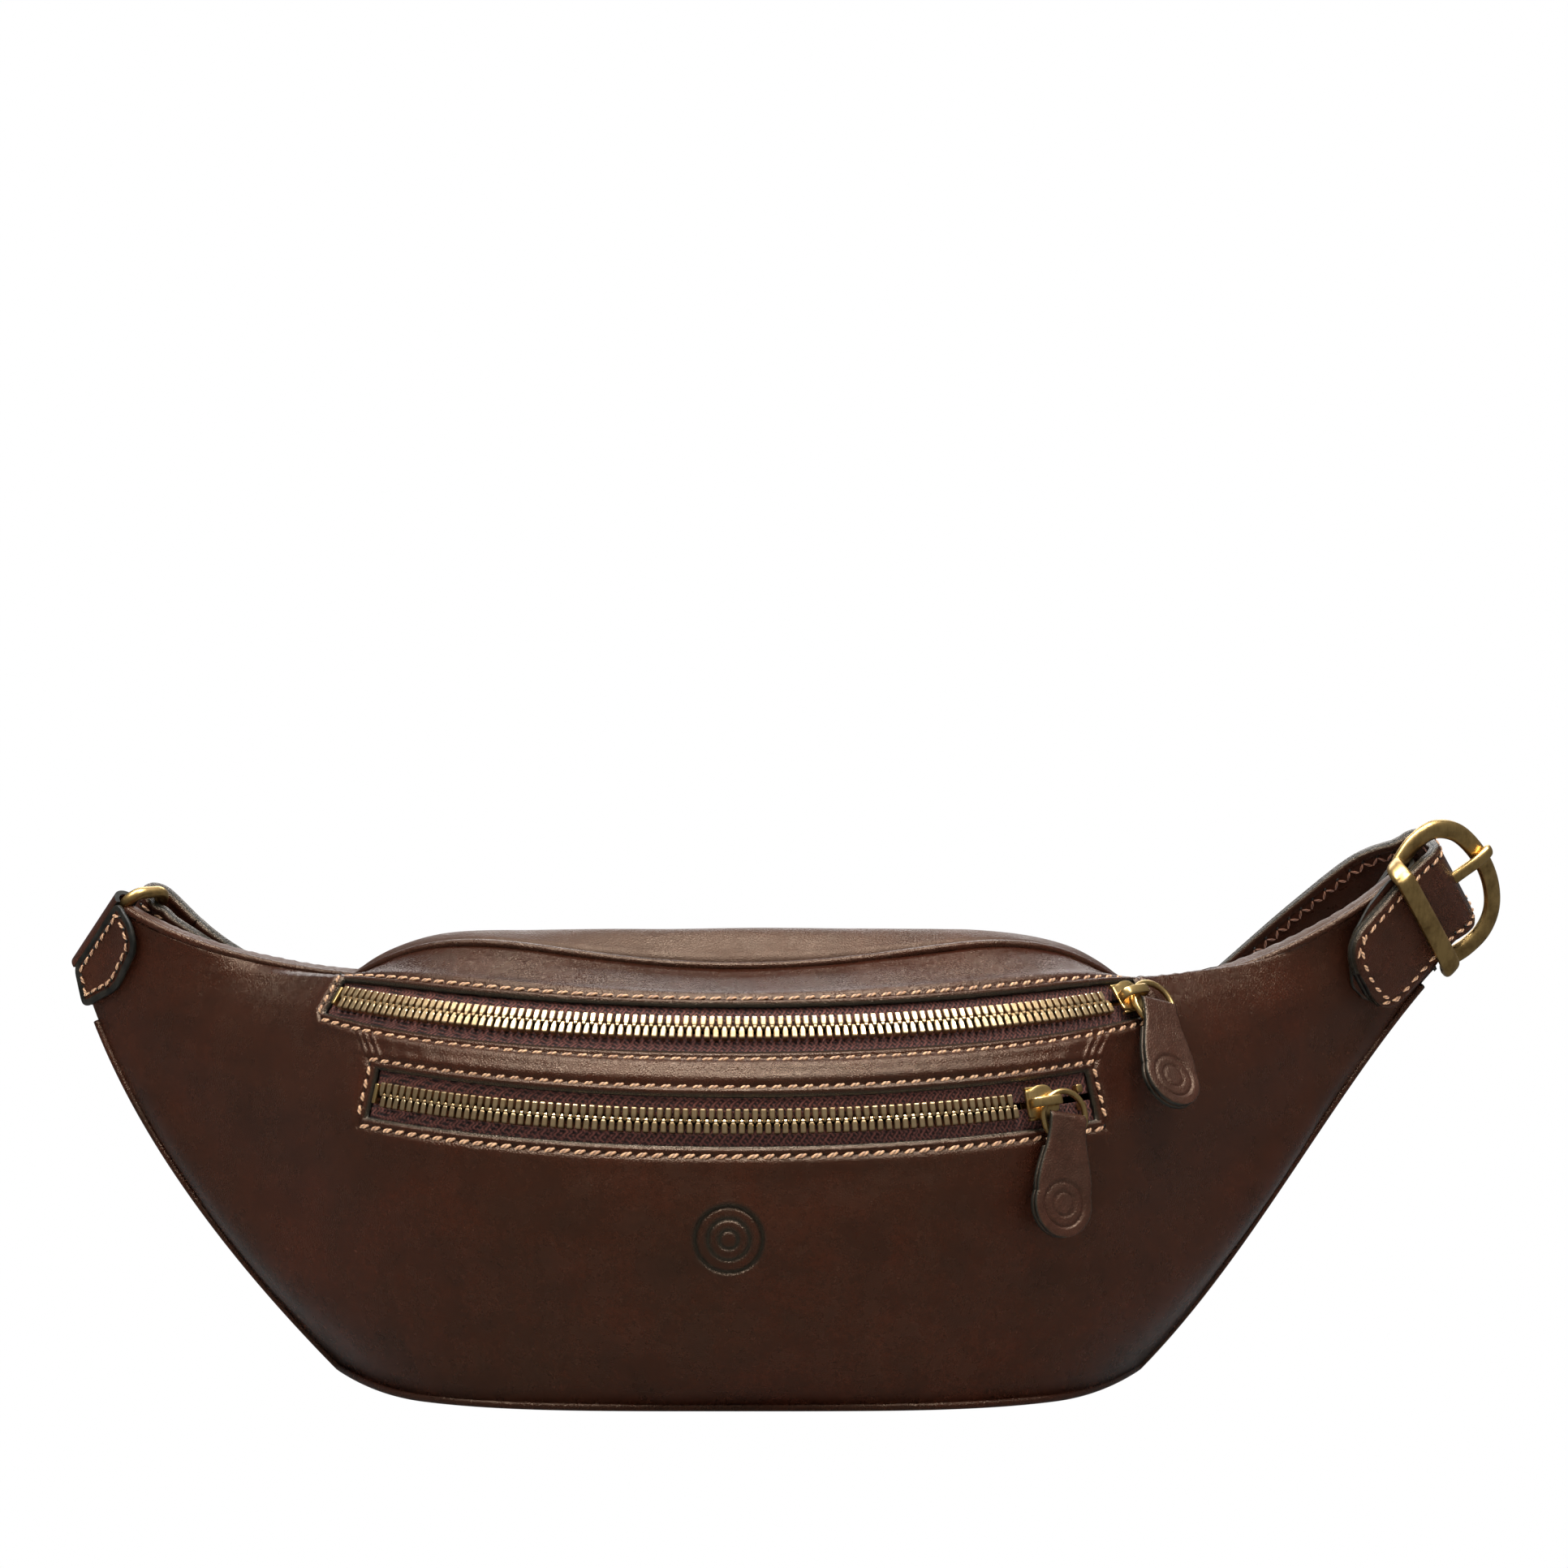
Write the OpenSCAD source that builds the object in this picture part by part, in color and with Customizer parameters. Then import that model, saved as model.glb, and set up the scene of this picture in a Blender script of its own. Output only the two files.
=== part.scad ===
// Waist pack: leather belt bag with two arched zips, a left strap ring and a right strap buckle.
// Frame: +Z up, the front faces -Y, +X is to the right seen from the front.
// The origin is the centre of the flat base, on the surface that the bag stands on.

/* [Leather] */
// thickness of the body leather
leather_t = 1.6; // [1.2:0.1:1.8]
// height of the piping bead along the top seam
piping_d = 2.6; // [2.0:0.1:2.8]

/* [Zips] */
// distance from tooth to tooth
tooth_pitch = 2.3; // [2.1:0.1:3.0]
// length of one tooth along the zip
tooth_w = 1.02; // [0.7:0.02:1.02]
// height of the teeth above the slot's edge plane
tooth_top = 0.35; // [0.1:0.05:0.4]
// outer diameter of the round ring on each slider
ring_od = 15; // [14.6:0.1:15.2]
// wire diameter of the ring on each slider
ring_wire = 1.7; // [1.4:0.1:1.7]

/* [Strap] */
// width of the waist strap
strap_w = 28; // [24:0.5:28]
// thickness of one strap layer
strap_layer = 1.75; // [1.4:0.05:1.75]
// wire diameter of the buckle frame
buckle_wire = 3.5; // [3.0:0.1:3.5]
// wire diameter of the left strap ring
loop_wire = 3.4; // [2.8:0.1:3.4]

/* [Hidden] */

hide = [0.24, 0.12, 0.08];
dark = [0.13, 0.10, 0.09];
cloth = [0.26, 0.13, 0.12];
brass = [0.62, 0.49, 0.26];

// ---- the two zips: each is a circular arc of radius zip_r in a tilted plane ----
zip_r = 154;
arc_end = 46;
main_half = 7.0;
main_pinch = 1.6;
pocket_half = 6.6;
// an arc is [middle y, middle z, plane tilt, lean of the face]
main_arc = [-30.5, 103, 7.5, 33];
pocket_arc = [-43, 79, 8, 12];
main_left = -1.0;
main_right = 1.0;
pocket_left = -0.87;
pocket_right = 0.83;

function unit(v) = v / norm(v);
function sag_dir(arc) = [0, -cos(arc[2]), -sin(arc[2])];
function up_dir(arc) = [0, -sin(arc[2]), cos(arc[2])];
function arc_centre(arc) = [0, arc[0], arc[1]] - zip_r * sag_dir(arc);
function arc_r(arc, phi) = [sin(phi), 0, 0] + cos(phi) * sag_dir(arc);
function arc_t(arc, phi) = [cos(phi), 0, 0] - sin(phi) * sag_dir(arc);
function arc_w(arc, phi) = cos(arc[3] + arc[2]) * up_dir(arc) - sin(arc[3] + arc[2]) * arc_r(arc, phi);
function arc_n(arc, phi) = unit(cross(arc_t(arc, phi), arc_w(arc, phi)));
function on_arc(arc, phi, w = 0, n = 0) =
  arc_centre(arc) + zip_r * arc_r(arc, phi) + w * arc_w(arc, phi) + n * arc_n(arc, phi);
function main_h(a) = main_half - main_pinch * pow(abs(a), 6);

// ---- the body surface: rows run from wing to wing, a = -2 (left tip) to 2 (right tip) ----
// rows 0 bottom seam, 1 lower front, 2 bulge, 3-4 pocket slot, 5-6 main slot, 7 top seam,
// rows 8 crest, 9 upper back, 10 back, 11 back bottom seam
wing_bottom = [[-184, 73, 104], [199, 81, 113]];
wing_top = [[-172.4, 60.7, 130.9], [187, 67, 140]];
end_dir_bottom = [[-0.34, 0.36, 0.86], [0.64, 0.42, 0.64]];
end_dir_top = [[-0.74, 0.52, 0.42], [0.70, 0.48, 0.53]];
row_share = [0, 0.12, 0.27, 0.42, 0.55, 0.67, 0.80, 1, 1, 0.80, 0.5, 0];
wing_depth = 4.5;
function back_y(x) = 20 + 0.0017 * x * x;
function base_z(x) = 0.8 + 4 * pow(max(0, x - 86) / 25, 2);
function top_x(a) = 105 * sin(a * arc_end) / sin(arc_end);

function row_mid(i, a, side) =
  let (phi = a * arc_end, x = zip_r * sin(phi), g = zip_r - sqrt(zip_r * zip_r - x * x),
       q = pow(x / 111, 2), xt = top_x(a), qt = pow(xt / 105, 2))
  i == 0 ? [x, -27 + 58 * pow(x / 111, 4), base_z(x)] :
  i == 1 ? [x, -39.5 + 0.96 * g, 22 + 2 * q] :
  i == 2 ? [x, -46.5 + g, 48 + 6 * q] :
  i == 3 ? on_arc(pocket_arc, phi, -pocket_half) :
  i == 4 ? on_arc(pocket_arc, phi, pocket_half) :
  i == 5 ? on_arc(main_arc, phi, -main_h(a)) :
  i == 6 ? on_arc(main_arc, phi, main_h(a)) :
  i == 7 ? [xt, -8 + 36 * qt, 118 + 6 * sin(180 * min(1, qt)) - (side < 0 ? 4.5 : 6.5) * pow(qt, 3)] :
  i == 8 ? [xt, 6 + 30 * qt, 127.8 - 4 * qt - (side < 0 ? 8.8 : 10.3) * pow(qt, 4)] :
  i == 9 ? [xt, back_y(xt) - 1, 112 - 6 * pow(qt, 3)] :
  i == 10 ? [xt, back_y(xt) + 2 * (1 - qt), 60] :
  [x, back_y(x) - 3, base_z(x)];

function mirror_x(p, side) = [side * p[0], p[1], p[2]];
function start_dir(i, side) =
  (i == 0 || i == 11) ? [0.66 * side, 0.40, 0.60] :
  i == 1 ? [0.72 * side, 0.55, 0.34] :
  (i == 7 || i == 8) ? [0.86 * side, 0.50, side < 0 ? 0.05 : -0.12] :
  i == 9 ? [0.86 * side, 0.45, 0.10] :
  i == 10 ? [0.80 * side, 0.45, 0.40] :
  mirror_x(row_mid(i, 1, side) - row_mid(i, 0.999, side), side);
function tip_normal(side) = let (k = side < 0 ? 0 : 1,
  w = unit(wing_top[k] - wing_bottom[k]), t = unit(end_dir_top[k]) + unit(end_dir_bottom[k]))
  side * unit(cross(unit(t - (t * w) * w), w));
function row_wing(i, s, side) =
  let (k = side < 0 ? 0 : 1, f = row_share[i],
       p1 = mirror_x(row_mid(i, 1, side), side),
       p2 = wing_bottom[k] * (1 - f) + wing_top[k] * f - (i >= 8 ? wing_depth : 0) * tip_normal(side),
       len = norm(p2 - p1), d1 = unit(start_dir(i, side)) * len,
       d2 = unit(end_dir_bottom[k] * (1 - f) + end_dir_top[k] * f) * len)
  (2 * pow(s, 3) - 3 * s * s + 1) * p1 + (pow(s, 3) - 2 * s * s + s) * d1
  + (3 * s * s - 2 * pow(s, 3)) * p2 + (pow(s, 3) - s * s) * d2;
function row(i, a) = let (side = a < 0 ? -1 : 1, m = abs(a))
  m <= 1 ? mirror_x(row_mid(i, m, side), side) : row_wing(i, m - 1, side);

// a smooth curve through four neighbouring rows
function curve4(a, b, c, d, t) = 0.5 * (2 * b + (c - a) * t + (2 * a - 5 * b + 4 * c - d) * t * t
  + (3 * b - a - 3 * c + d) * t * t * t);
// front surface, v = 0 at the bottom seam to 7 at the top seam; the slots 3-4 and 5-6 stay straight
function front(v, a) = let (i = min(6, max(0, floor(v))), f = v - i, p = row(i, a), q = row(i + 1, a))
  (i == 3 || i == 5) ? p + (q - p) * f :
  curve4(i == 0 ? 2 * p - q : row(i - 1, a), p, q, row(i + 2, a), f);
// back surface, v = 0 at the top seam over the crest to 4 at the back bottom seam
function back(v, a) = let (i = min(3, max(0, floor(v))), f = v - i, p = row(7 + i, a), q = row(8 + i, a))
  curve4(i == 0 ? row(6, a) : row(6 + i, a), p, q, i == 3 ? 2 * q - p : row(9 + i, a), f);
function face_normal(which, v, a) = let (e = 0.03, lo = max(0, v - e), hi = min(which == 0 ? 7 : 4, v + e))
  unit(cross(
    which == 0 ? front(v, a + e) - front(v, a - e) : back(v, a + e) - back(v, a - e),
    which == 0 ? front(hi, a) - front(lo, a) : back(hi, a) - back(lo, a)));

// ---- meshes ----
// Skin between two offsets of a grid of points. keep(i, j) says which cells are solid.
module skin(grid, normals, t0, t1, hole = []) {
  ni = len(grid);
  nj = len(grid[0]);
  pts = concat(
    [for (i = [0:ni - 1], j = [0:nj - 1]) grid[i][j] - t0 * normals[i][j]],
    [for (i = [0:ni - 1], j = [0:nj - 1]) grid[i][j] - t1 * normals[i][j]]);
  s = ni * nj;
  function id(i, j) = i * nj + j;
  function keep(i, j) = i >= 0 && j >= 0 && i < ni - 1 && j < nj - 1
    && len([for (h = hole) if (i >= h[0] && i < h[1] && j >= h[2] && j < h[3]) 1]) == 0;
  function quad(a, b, c, d) = [[a, b, c], [a, c, d]];
  faces = [for (i = [0:ni - 2], j = [0:nj - 2]) if (keep(i, j))
    for (f = concat(
      quad(id(i, j), id(i, j + 1), id(i + 1, j + 1), id(i + 1, j)),
      quad(s + id(i, j), s + id(i + 1, j), s + id(i + 1, j + 1), s + id(i, j + 1)),
      keep(i, j - 1) ? [] : quad(id(i, j), id(i + 1, j), s + id(i + 1, j), s + id(i, j)),
      keep(i, j + 1) ? [] : quad(id(i + 1, j + 1), id(i, j + 1), s + id(i, j + 1), s + id(i + 1, j + 1)),
      keep(i - 1, j) ? [] : quad(id(i, j + 1), id(i, j), s + id(i, j), s + id(i, j + 1)),
      keep(i + 1, j) ? [] : quad(id(i + 1, j), id(i + 1, j + 1), s + id(i + 1, j + 1), s + id(i + 1, j)))) f];
  polyhedron(pts, faces);
}
// Rod or band through rings of points with the same count; each ring runs anticlockwise seen from its end.
module loft(rings, closed = false) {
  n = len(rings);
  m = len(rings[0]);
  pts = [for (r = rings) for (p = r) p];
  sides = [for (i = [0:n - (closed ? 1 : 2)], j = [0:m - 1])
    let (k = (i + 1) % n, l = (j + 1) % m)
    for (f = [[i * m + j, k * m + j, k * m + l], [i * m + j, k * m + l, i * m + l]]) f];
  caps = closed ? [] : concat(
    [for (j = [1:m - 2]) [0, j, j + 1]],
    [for (j = [1:m - 2]) [(n - 1) * m, (n - 1) * m + j + 1, (n - 1) * m + j]]);
  polyhedron(pts, concat(sides, caps));
}
function path_dir(path, i, closed) = let (n = len(path))
  closed ? unit(path[(i + 1) % n] - path[(i + n - 1) % n])
  : unit(path[min(n - 1, i + 1)] - path[max(0, i - 1)]);
function round_rings(path, r, sides, side_hint, closed = false) = [for (i = [0:len(path) - 1])
  let (t = path_dir(path, i, closed), u = unit(cross(t, side_hint)), v = cross(t, u))
  [for (k = [0:sides - 1]) path[i] + r * (cos(360 * k / sides) * u + sin(360 * k / sides) * v)]];
// a smooth curve through a list of points, per steps between two points
function smooth(p, per, closed = false) = let (n = len(p)) concat(
  [for (i = [0:n - (closed ? 1 : 2)], k = [0:per - 1])
    curve4(closed ? p[(i + n - 1) % n] : p[max(0, i - 1)], p[i], p[(i + 1) % n],
      closed ? p[(i + 2) % n] : p[min(n - 1, i + 2)], k / per)],
  closed ? [] : [p[n - 1]]);
// place children in a frame with the given axes
module in_frame(origin, x, y, z) {
  multmatrix([[x[0], y[0], z[0], origin[0]], [x[1], y[1], z[1], origin[1]], [x[2], y[2], z[2], origin[2]]])
    children();
}

// ---- body ----
edge_lo = 2.0;
edge_hi = 1.7;
cols = concat(
  [for (k = [0:9]) -2 + k / 10], [-1],
  [for (k = [0:20]) pocket_left + k * (pocket_right - pocket_left) / 20],
  [0.915, 1], [for (k = [1:10]) 1 + k / 10]);
col_main_left = 10;
col_pocket_left = 11;
col_pocket_right = 31;
col_main_right = 33;
front_v = [0, 0.58, 0.8, 1, 1.33, 1.66, 2, 2.33, 2.66, 3, 4, 4.5, 5, 6, 6.3, 6.6, 7];
back_v = [0, 0.5, 0.7, 0.85, 1, 1.2, 1.5, 2, 2.5, 3, 3.5, 4];
// the two ends of a panel stop short of the seam, to leave room for piping and welt
function trimmed(p, toward, d) = p + d * unit(toward - p);
front_grid = [for (a = cols) [for (k = [0:len(front_v) - 1])
  k == 0 ? trimmed(front(0, a), front(0.3, a), edge_lo) :
  k == len(front_v) - 1 ? trimmed(front(7, a), front(6.8, a), edge_hi) : front(front_v[k], a)]];
front_normals = [for (a = cols) [for (v = front_v) face_normal(0, v, a)]];
back_grid = [for (a = cols) [for (k = [0:len(back_v) - 1])
  k == 0 ? trimmed(back(0, a), back(0.2, a), edge_hi) :
  k == len(back_v) - 1 ? trimmed(back(4, a), back(3.8, a), edge_lo) : back(back_v[k], a)]];
back_normals = [for (a = cols) [for (v = back_v) face_normal(1, v, a)]];

module front_panel() {
  color(hide) skin(front_grid, front_normals, 0, leather_t,
    [[col_pocket_left, col_pocket_right, 9, 10], [col_main_left, col_main_right, 12, 13]]);
}
module back_panel() {
  color(hide) skin(back_grid, back_normals, 0, leather_t);
}
// flat base, with its narrow ends running up under the wings
gusset_t = 1.8;
gusset_end = 1.6;
gusset_inset = 2.6;
module base_gusset() {
  as = concat([for (k = [0:6]) -gusset_end + k * (gusset_end - 1) / 6], [for (k = [1:23]) -1 + k / 12],
    [for (k = [0:6]) 1 + k * (gusset_end - 1) / 6]);
  grid = [for (a = as) let (f = row(0, a), b = row(11, a), d = unit(b - f), lo = [0, 0, -0.8])
    [b - gusset_inset * d + lo, (f + b) / 2 + lo, f + gusset_inset * d + lo]];
  norms = [for (a = as) let (d = unit(row(0, a) - row(11, a)), t = unit(row(0, a + 0.02) - row(0, a - 0.02)))
    [for (k = [0:2]) abs(a) < 0.75 ? [0, 0, -1] : unit(cross(t, d))]];
  color(hide) skin(grid, norms, 0, gusset_t);
}
module top_piping() {
  path = [for (k = [-39:39]) row(7, k / 20)];
  color(dark) loft([for (i = [0:len(path) - 1])
    let (r = piping_d / 2 - 0.3 * max(0, abs(i - 39) / 39 - 0.5)) round_rings(path, r, 6, [0, 1, 0])[i]]);
}
module bottom_welt() {
  path = [for (k = [-32:32]) row(0, k / 20) + [0, 0, 0.35]];
  color(dark) loft(round_rings(path, 1.1, 6, [0, 0, 1]));
}
// cloth pouch inside the main compartment, open at the top under the zip
module pouch(outer, inner, half) {
  in_frame([-half, 0, 0], [0, 1, 0], [0, 0, 1], [1, 0, 0]) difference() {
    linear_extrude(2 * half) polygon(outer);
    translate([0, 0, 0.8]) linear_extrude(2 * half - 1.6) polygon(inner);
  }
}
module main_lining() {
  color(cloth) pouch(
    [[-14, 4], [13, 4], [16, 60], [16, 94], [-14, 94], [-22, 60], [-20, 20]],
    [[-13.2, 4.8], [12.2, 4.8], [15.2, 60], [15.2, 95], [-13.2, 95], [-21.2, 60], [-19.2, 20]], 62);
}
module pocket_lining() {
  color(cloth) pouch(
    [[-24, 10], [-23, 10], [-23.5, 66], [-33.5, 66], [-35.5, 48], [-31, 24]],
    [[-24.1, 11.5], [-23.9, 11.5], [-24.3, 67], [-32.7, 67], [-34.7, 48], [-30.1, 24]], 40);
}

// ---- zips ----
tape_t0 = leather_t + 0.15;
tape_t1 = leather_t + 0.65;
module tape(v0, v1, a0, a1) {
  as = [for (k = [0:24]) a0 + k * (a1 - a0) / 24];
  vs = [v0, (v0 + v1) / 2, v1];
  color(cloth) skin([for (a = as) [for (v = vs) front(v, a)]],
    [for (a = as) [for (v = vs) face_normal(0, v, a)]], tape_t0, tape_t1);
}
module main_tape_upper() { tape(5.57, 6.14, main_left - 0.03, main_right + 0.03); }
module main_tape_lower() { tape(4.78, 5.43, main_left - 0.03, main_right + 0.03); }
module pocket_tape_upper() { tape(3.57, 4.22, pocket_left - 0.04, pocket_right + 0.04); }
module pocket_tape_lower() { tape(2.86, 3.43, pocket_left - 0.04, pocket_right + 0.04); }

pitch_deg = tooth_pitch / zip_r * 180 / PI;
// one row of separate metal teeth, up = 1 for the row above the middle line, -1 below it
module teeth(arc, phi0, phi1, up) {
  n = floor((phi1 - phi0) / pitch_deg);
  half = tooth_w / 2 / zip_r * 180 / PI;
  w0 = min(-0.35 * up, 3.2 * up);
  w1 = max(-0.35 * up, 3.2 * up);
  pts = [for (k = [0:n]) let (f = phi0 + (k + (up > 0 ? 0 : 0.5)) * pitch_deg)
    for (d = [-1.6, tooth_top], c = [[-half, w0], [half, w0], [half, w1], [-half, w1]])
      on_arc(arc, f + c[0], c[1], d)];
  faces = [for (k = [0:n]) for (f = [[0, 1, 2], [0, 2, 3], [4, 6, 5], [4, 7, 6], [0, 5, 1], [0, 4, 5],
    [1, 6, 2], [1, 5, 6], [2, 7, 3], [2, 6, 7], [3, 4, 0], [3, 7, 4]]) [for (v = f) 8 * k + v]];
  color(brass) polyhedron(pts, faces);
}
main_phi = 43.6;
pocket_phi = 31.6;
module main_teeth_upper() { teeth(main_arc, -44.6, 40.8, 1); }
module main_teeth_lower() { teeth(main_arc, -44.6, 40.4, -1); }
module pocket_teeth_upper() { teeth(pocket_arc, -38.6, 28.8, 1); }
module pocket_teeth_lower() { teeth(pocket_arc, -38.6, 28.4, -1); }
module zip_frame(arc, phi) {
  in_frame(on_arc(arc, phi), arc_t(arc, phi), arc_w(arc, phi), arc_n(arc, phi)) children();
}
module main_zip_stop() {
  color(brass) zip_frame(main_arc, -45.3) translate([-0.6, -2.6, -1.6]) cube([1.1, 5.2, 2.0]);
}
module pocket_zip_stops() {
  color(brass) {
    zip_frame(pocket_arc, -39.35) translate([-0.6, -2.6, -1.6]) cube([1.1, 5.2, 2.0]);
    for (s = [-1, 1]) zip_frame(pocket_arc, 36.6) translate([-1.0, s * 2.4 - 1.1, -1.6]) cube([2.0, 2.2, 2.2]);
  }
}

// ---- sliders, rings and leather pulls ----
plate_lo = 0.5;
plate_t = 0.8;
ring_n = 3.0;
bridge_lo = 4.05;
module slider() {
  // upper plate, wide at the nose
  translate([0, 0, plate_lo]) linear_extrude(plate_t)
    polygon([[-5.0, -3.8], [-2.4, -4.5], [2.6, -4.5], [4.9, -2.2], [4.9, 2.2], [2.6, 4.5], [-2.4, 4.5], [-5.0, 3.8]]);
  // lower plate behind the tapes
  translate([0, 0, -3.5]) linear_extrude(0.7)
    polygon([[-4.6, -3.6], [2.6, -4.2], [4.6, -2.0], [4.6, 2.0], [2.6, 4.2], [-4.6, 3.6]]);
  // post that parts the teeth
  translate([2.0, -0.6, -3.2]) cube([2.4, 1.2, 4.0]);
  // side flanges
  for (s = [-1, 1]) translate([-3.6, s * 4.15 - 0.3, -0.6]) cube([5.6, 0.6, 1.3]);
  // bridge along the zip that the ring runs through
  for (s = [-1, 1]) translate([s * 3.95 - 0.45, -1.0, plate_lo + 0.3]) cube([0.9, 2.0, bridge_lo - plate_lo]);
  translate([-4.4, -1.0, bridge_lo]) cube([8.8, 2.0, 0.9]);
}
// the ring lies nearly flat, its wire crossing under the bridge
ring_r = (ring_od - ring_wire) / 2;
ring_shift = 4.9;
ring_drop = sqrt(ring_r * ring_r - ring_shift * ring_shift);
// a hang is [arc, phi, tilt towards the body, turn in the ring's plane]
main_hang = [main_arc, main_phi, 3.5, -21.5];
pocket_hang = [pocket_arc, pocket_phi, 3.5, -14.5];
function hang_t(h) = arc_t(h[0], h[1]);
function hang_d(h) = -arc_w(h[0], h[1]) * cos(h[2]) - arc_n(h[0], h[1]) * sin(h[2]);
function hang_n(h) = arc_n(h[0], h[1]) * cos(h[2]) - arc_w(h[0], h[1]) * sin(h[2]);
function hang_c(h) = on_arc(h[0], h[1], 0, ring_n) + ring_shift * hang_t(h) + ring_drop * hang_d(h);
function pull_d(h) = cos(h[3]) * hang_d(h) + sin(h[3]) * hang_t(h);
function pull_x(h) = cross(hang_n(h), pull_d(h));
module slider_ring(h) {
  color(brass) in_frame(hang_c(h), hang_t(h), -hang_d(h), hang_n(h))
    rotate_extrude($fn = 48) translate([ring_r, 0]) circle(d = ring_wire, $fn = 16);
}
// leather tag folded through the ring, round at its lower end, 33 mm long
pull_len = 33;
pull_top_w = 11.2;
pull_end_r = 8.9;
pull_gap = 1.4;
// the strip behind the wire keeps to one side, clear of the slider's plate
fold_x = -0.7;
fold_w = 3.6;
module pull_outline(r_cut) {
  polygon(concat(
    [[-pull_top_w / 2, 0.6], [-pull_top_w / 2 - 0.3, -6], [-7.6, -15]],
    [for (k = [0:14]) let (f = 160 + 220 * k / 14)
      [pull_end_r * cos(f), -(pull_len - pull_end_r) + pull_end_r * sin(f)]],
    [[7.6, -15], [pull_top_w / 2 + 0.3, -6], [pull_top_w / 2, 0.6]]));
}
module pull(h) {
  color(hide) in_frame(hang_c(h), pull_x(h), -pull_d(h), hang_n(h)) {
    // front leaf in front of the ring
    translate([0, 0, pull_gap]) linear_extrude(1.4) pull_outline();
    // back leaf below the ring, and the narrow fold behind the wire
    translate([0, 0, -0.2]) intersection() {
      linear_extrude(pull_gap + 0.3) pull_outline();
      translate([-20, -60, -1]) cube([40, 60 - ring_r - 2.3, 10]);
    }
    translate([fold_x, -ring_r - 3.2, -1.7]) cube([fold_w, ring_r + 3.8, 0.7]);
    translate([fold_x, -ring_r - 4.0, -1.7]) cube([fold_w, 1.7, 1.9]);
    translate([fold_x, -0.4, -1.7]) cube([fold_w, 1.0, 4.3]);
  }
}
module main_slider() { color(brass) zip_frame(main_arc, main_phi) slider(); }
module main_slider_ring() { slider_ring(main_hang); }
module main_pull() { pull(main_hang); }
module pocket_slider() { color(brass) zip_frame(pocket_arc, pocket_phi) slider(); }
module pocket_slider_ring() { slider_ring(pocket_hang); }
module pocket_pull() { pull(pocket_hang); }

// ---- left end: tab folded round the ring's bar ----
loop_c = [-178.9, 70.1, 123.5];
loop_b = [0.508, -0.507, 0.695] / norm([0.508, -0.507, 0.695]);
loop_e = unit([0.689, 0.725, 0.025] - ([0.689, 0.725, 0.025] * loop_b) * loop_b);
loop_o = cross(loop_e, loop_b);
loop_half = 16.8;
loop_depth = 13;
fold_r = 2.6;
tab_t = 1.45;
// the buckle tab's front leaf is pared thinner than its fold
leaf_t = 1.0;
module tab_frame() { in_frame(loop_c, -loop_o, loop_b, -loop_e) children(); }
module ring_tab() {
  color(hide) tab_frame() {
    // fold round the bar
    rotate([-90, 0, 0]) translate([0, 0, -13.7]) difference() {
      cylinder(r = fold_r + tab_t, h = 27.4, $fn = 40);
      translate([0, 0, -1]) cylinder(r = fold_r, h = 30, $fn = 40);
      translate([-20, -10, -1]) cube([20, 20, 30]);
    }
    // leaf on the front of the wing
    translate([0, 0, fold_r]) linear_extrude(tab_t)
      polygon([[0, -13.7], [0, 13.7], [-8.6, 13.2], [-14.6, 9.5], [-16.8, -5], [-9.5, -21.5]]);
    // leaf on the back of the wing
    translate([0, 0, -fold_r - tab_t]) linear_extrude(tab_t)
      polygon([[0, -13.7], [0, 11.5], [-4, 10], [-5.5, -11]]);
  }
}
module strap_ring() {
  rr = 4.2;
  path = [for (q = [0:3], k = [0:5]) loop_c
    + (q == 0 || q == 3 ? rr : loop_depth - rr) * loop_e
    + (q < 2 ? -1 : 1) * (loop_half - rr) * loop_b
    + rr * corner(q, 90 * k / 5)];
  color(brass) loft(round_rings(path, loop_wire / 2, 10, loop_o, true), true);
}
// direction from a corner's centre to its arc: q counts the corners in the order that the wire visits them
function corner(q, a) =
  q == 0 ? -cos(a) * loop_e - sin(a) * loop_b :
  q == 1 ? -cos(a) * loop_b + sin(a) * loop_e :
  q == 2 ? cos(a) * loop_e + sin(a) * loop_b :
  cos(a) * loop_b - sin(a) * loop_e;

// ---- right end: buckle in its own frame: p along the strap, k down across it, n out of the wing ----
bk_n = unit([0.625, -0.771, -0.122]);
bk_p = unit([0.633, 0.408, 0.658] - ([0.633, 0.408, 0.658] * bk_n) * bk_n);
bk_k = cross(bk_p, bk_n);
bk_0 = [190.4, 71.65, 128.0];
function bk(p, k, n) = bk_0 + p * bk_p + k * bk_k + n * bk_n;
bar_p = 6.3;
bar_n = -2.25;
module buckle_coords() { in_frame(bk_0, bk_p, bk_k, bk_n) children(); }
module buckle_tab() {
  color(hide) buckle_coords() {
    for (s = [0, 1]) translate([bar_p, s == 0 ? -13.5 : 4.6, bar_n]) rotate([-90, 0, 0]) difference() {
      cylinder(r = fold_r + 0.25 + tab_t, h = 13.5 - 2.6, $fn = 40);
      translate([0, 0, -1]) cylinder(r = fold_r + 0.25, h = 20, $fn = 40);
      translate([-20, -10, -1]) cube([20, 20, 30]);
    }
    translate([0, 0, bar_n + fold_r + 0.25 + tab_t - leaf_t]) linear_extrude(leaf_t) difference() {
      polygon([[bar_p, -13.5], [bar_p, 15.5], [-2, 17.0], [-14.5, 16.4], [-20.5, 14.6], [-28, 5.5],
        [-29.6, -1], [-26, -8.2], [-21.5, -13.2], [-12, -16], [-2, -16.6]]);
      translate([1.2, -2.6]) square([10, 7.2]);
    }
    translate([0, 0, bar_n - fold_r - 0.25 - tab_t]) linear_extrude(tab_t) difference() {
      polygon([[bar_p, -13.5], [bar_p, 15.5], [-4, 14], [-6, 0], [-4, -12]]);
      translate([1.2, -2.6]) square([10, 7.2]);
    }
  }
}
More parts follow.
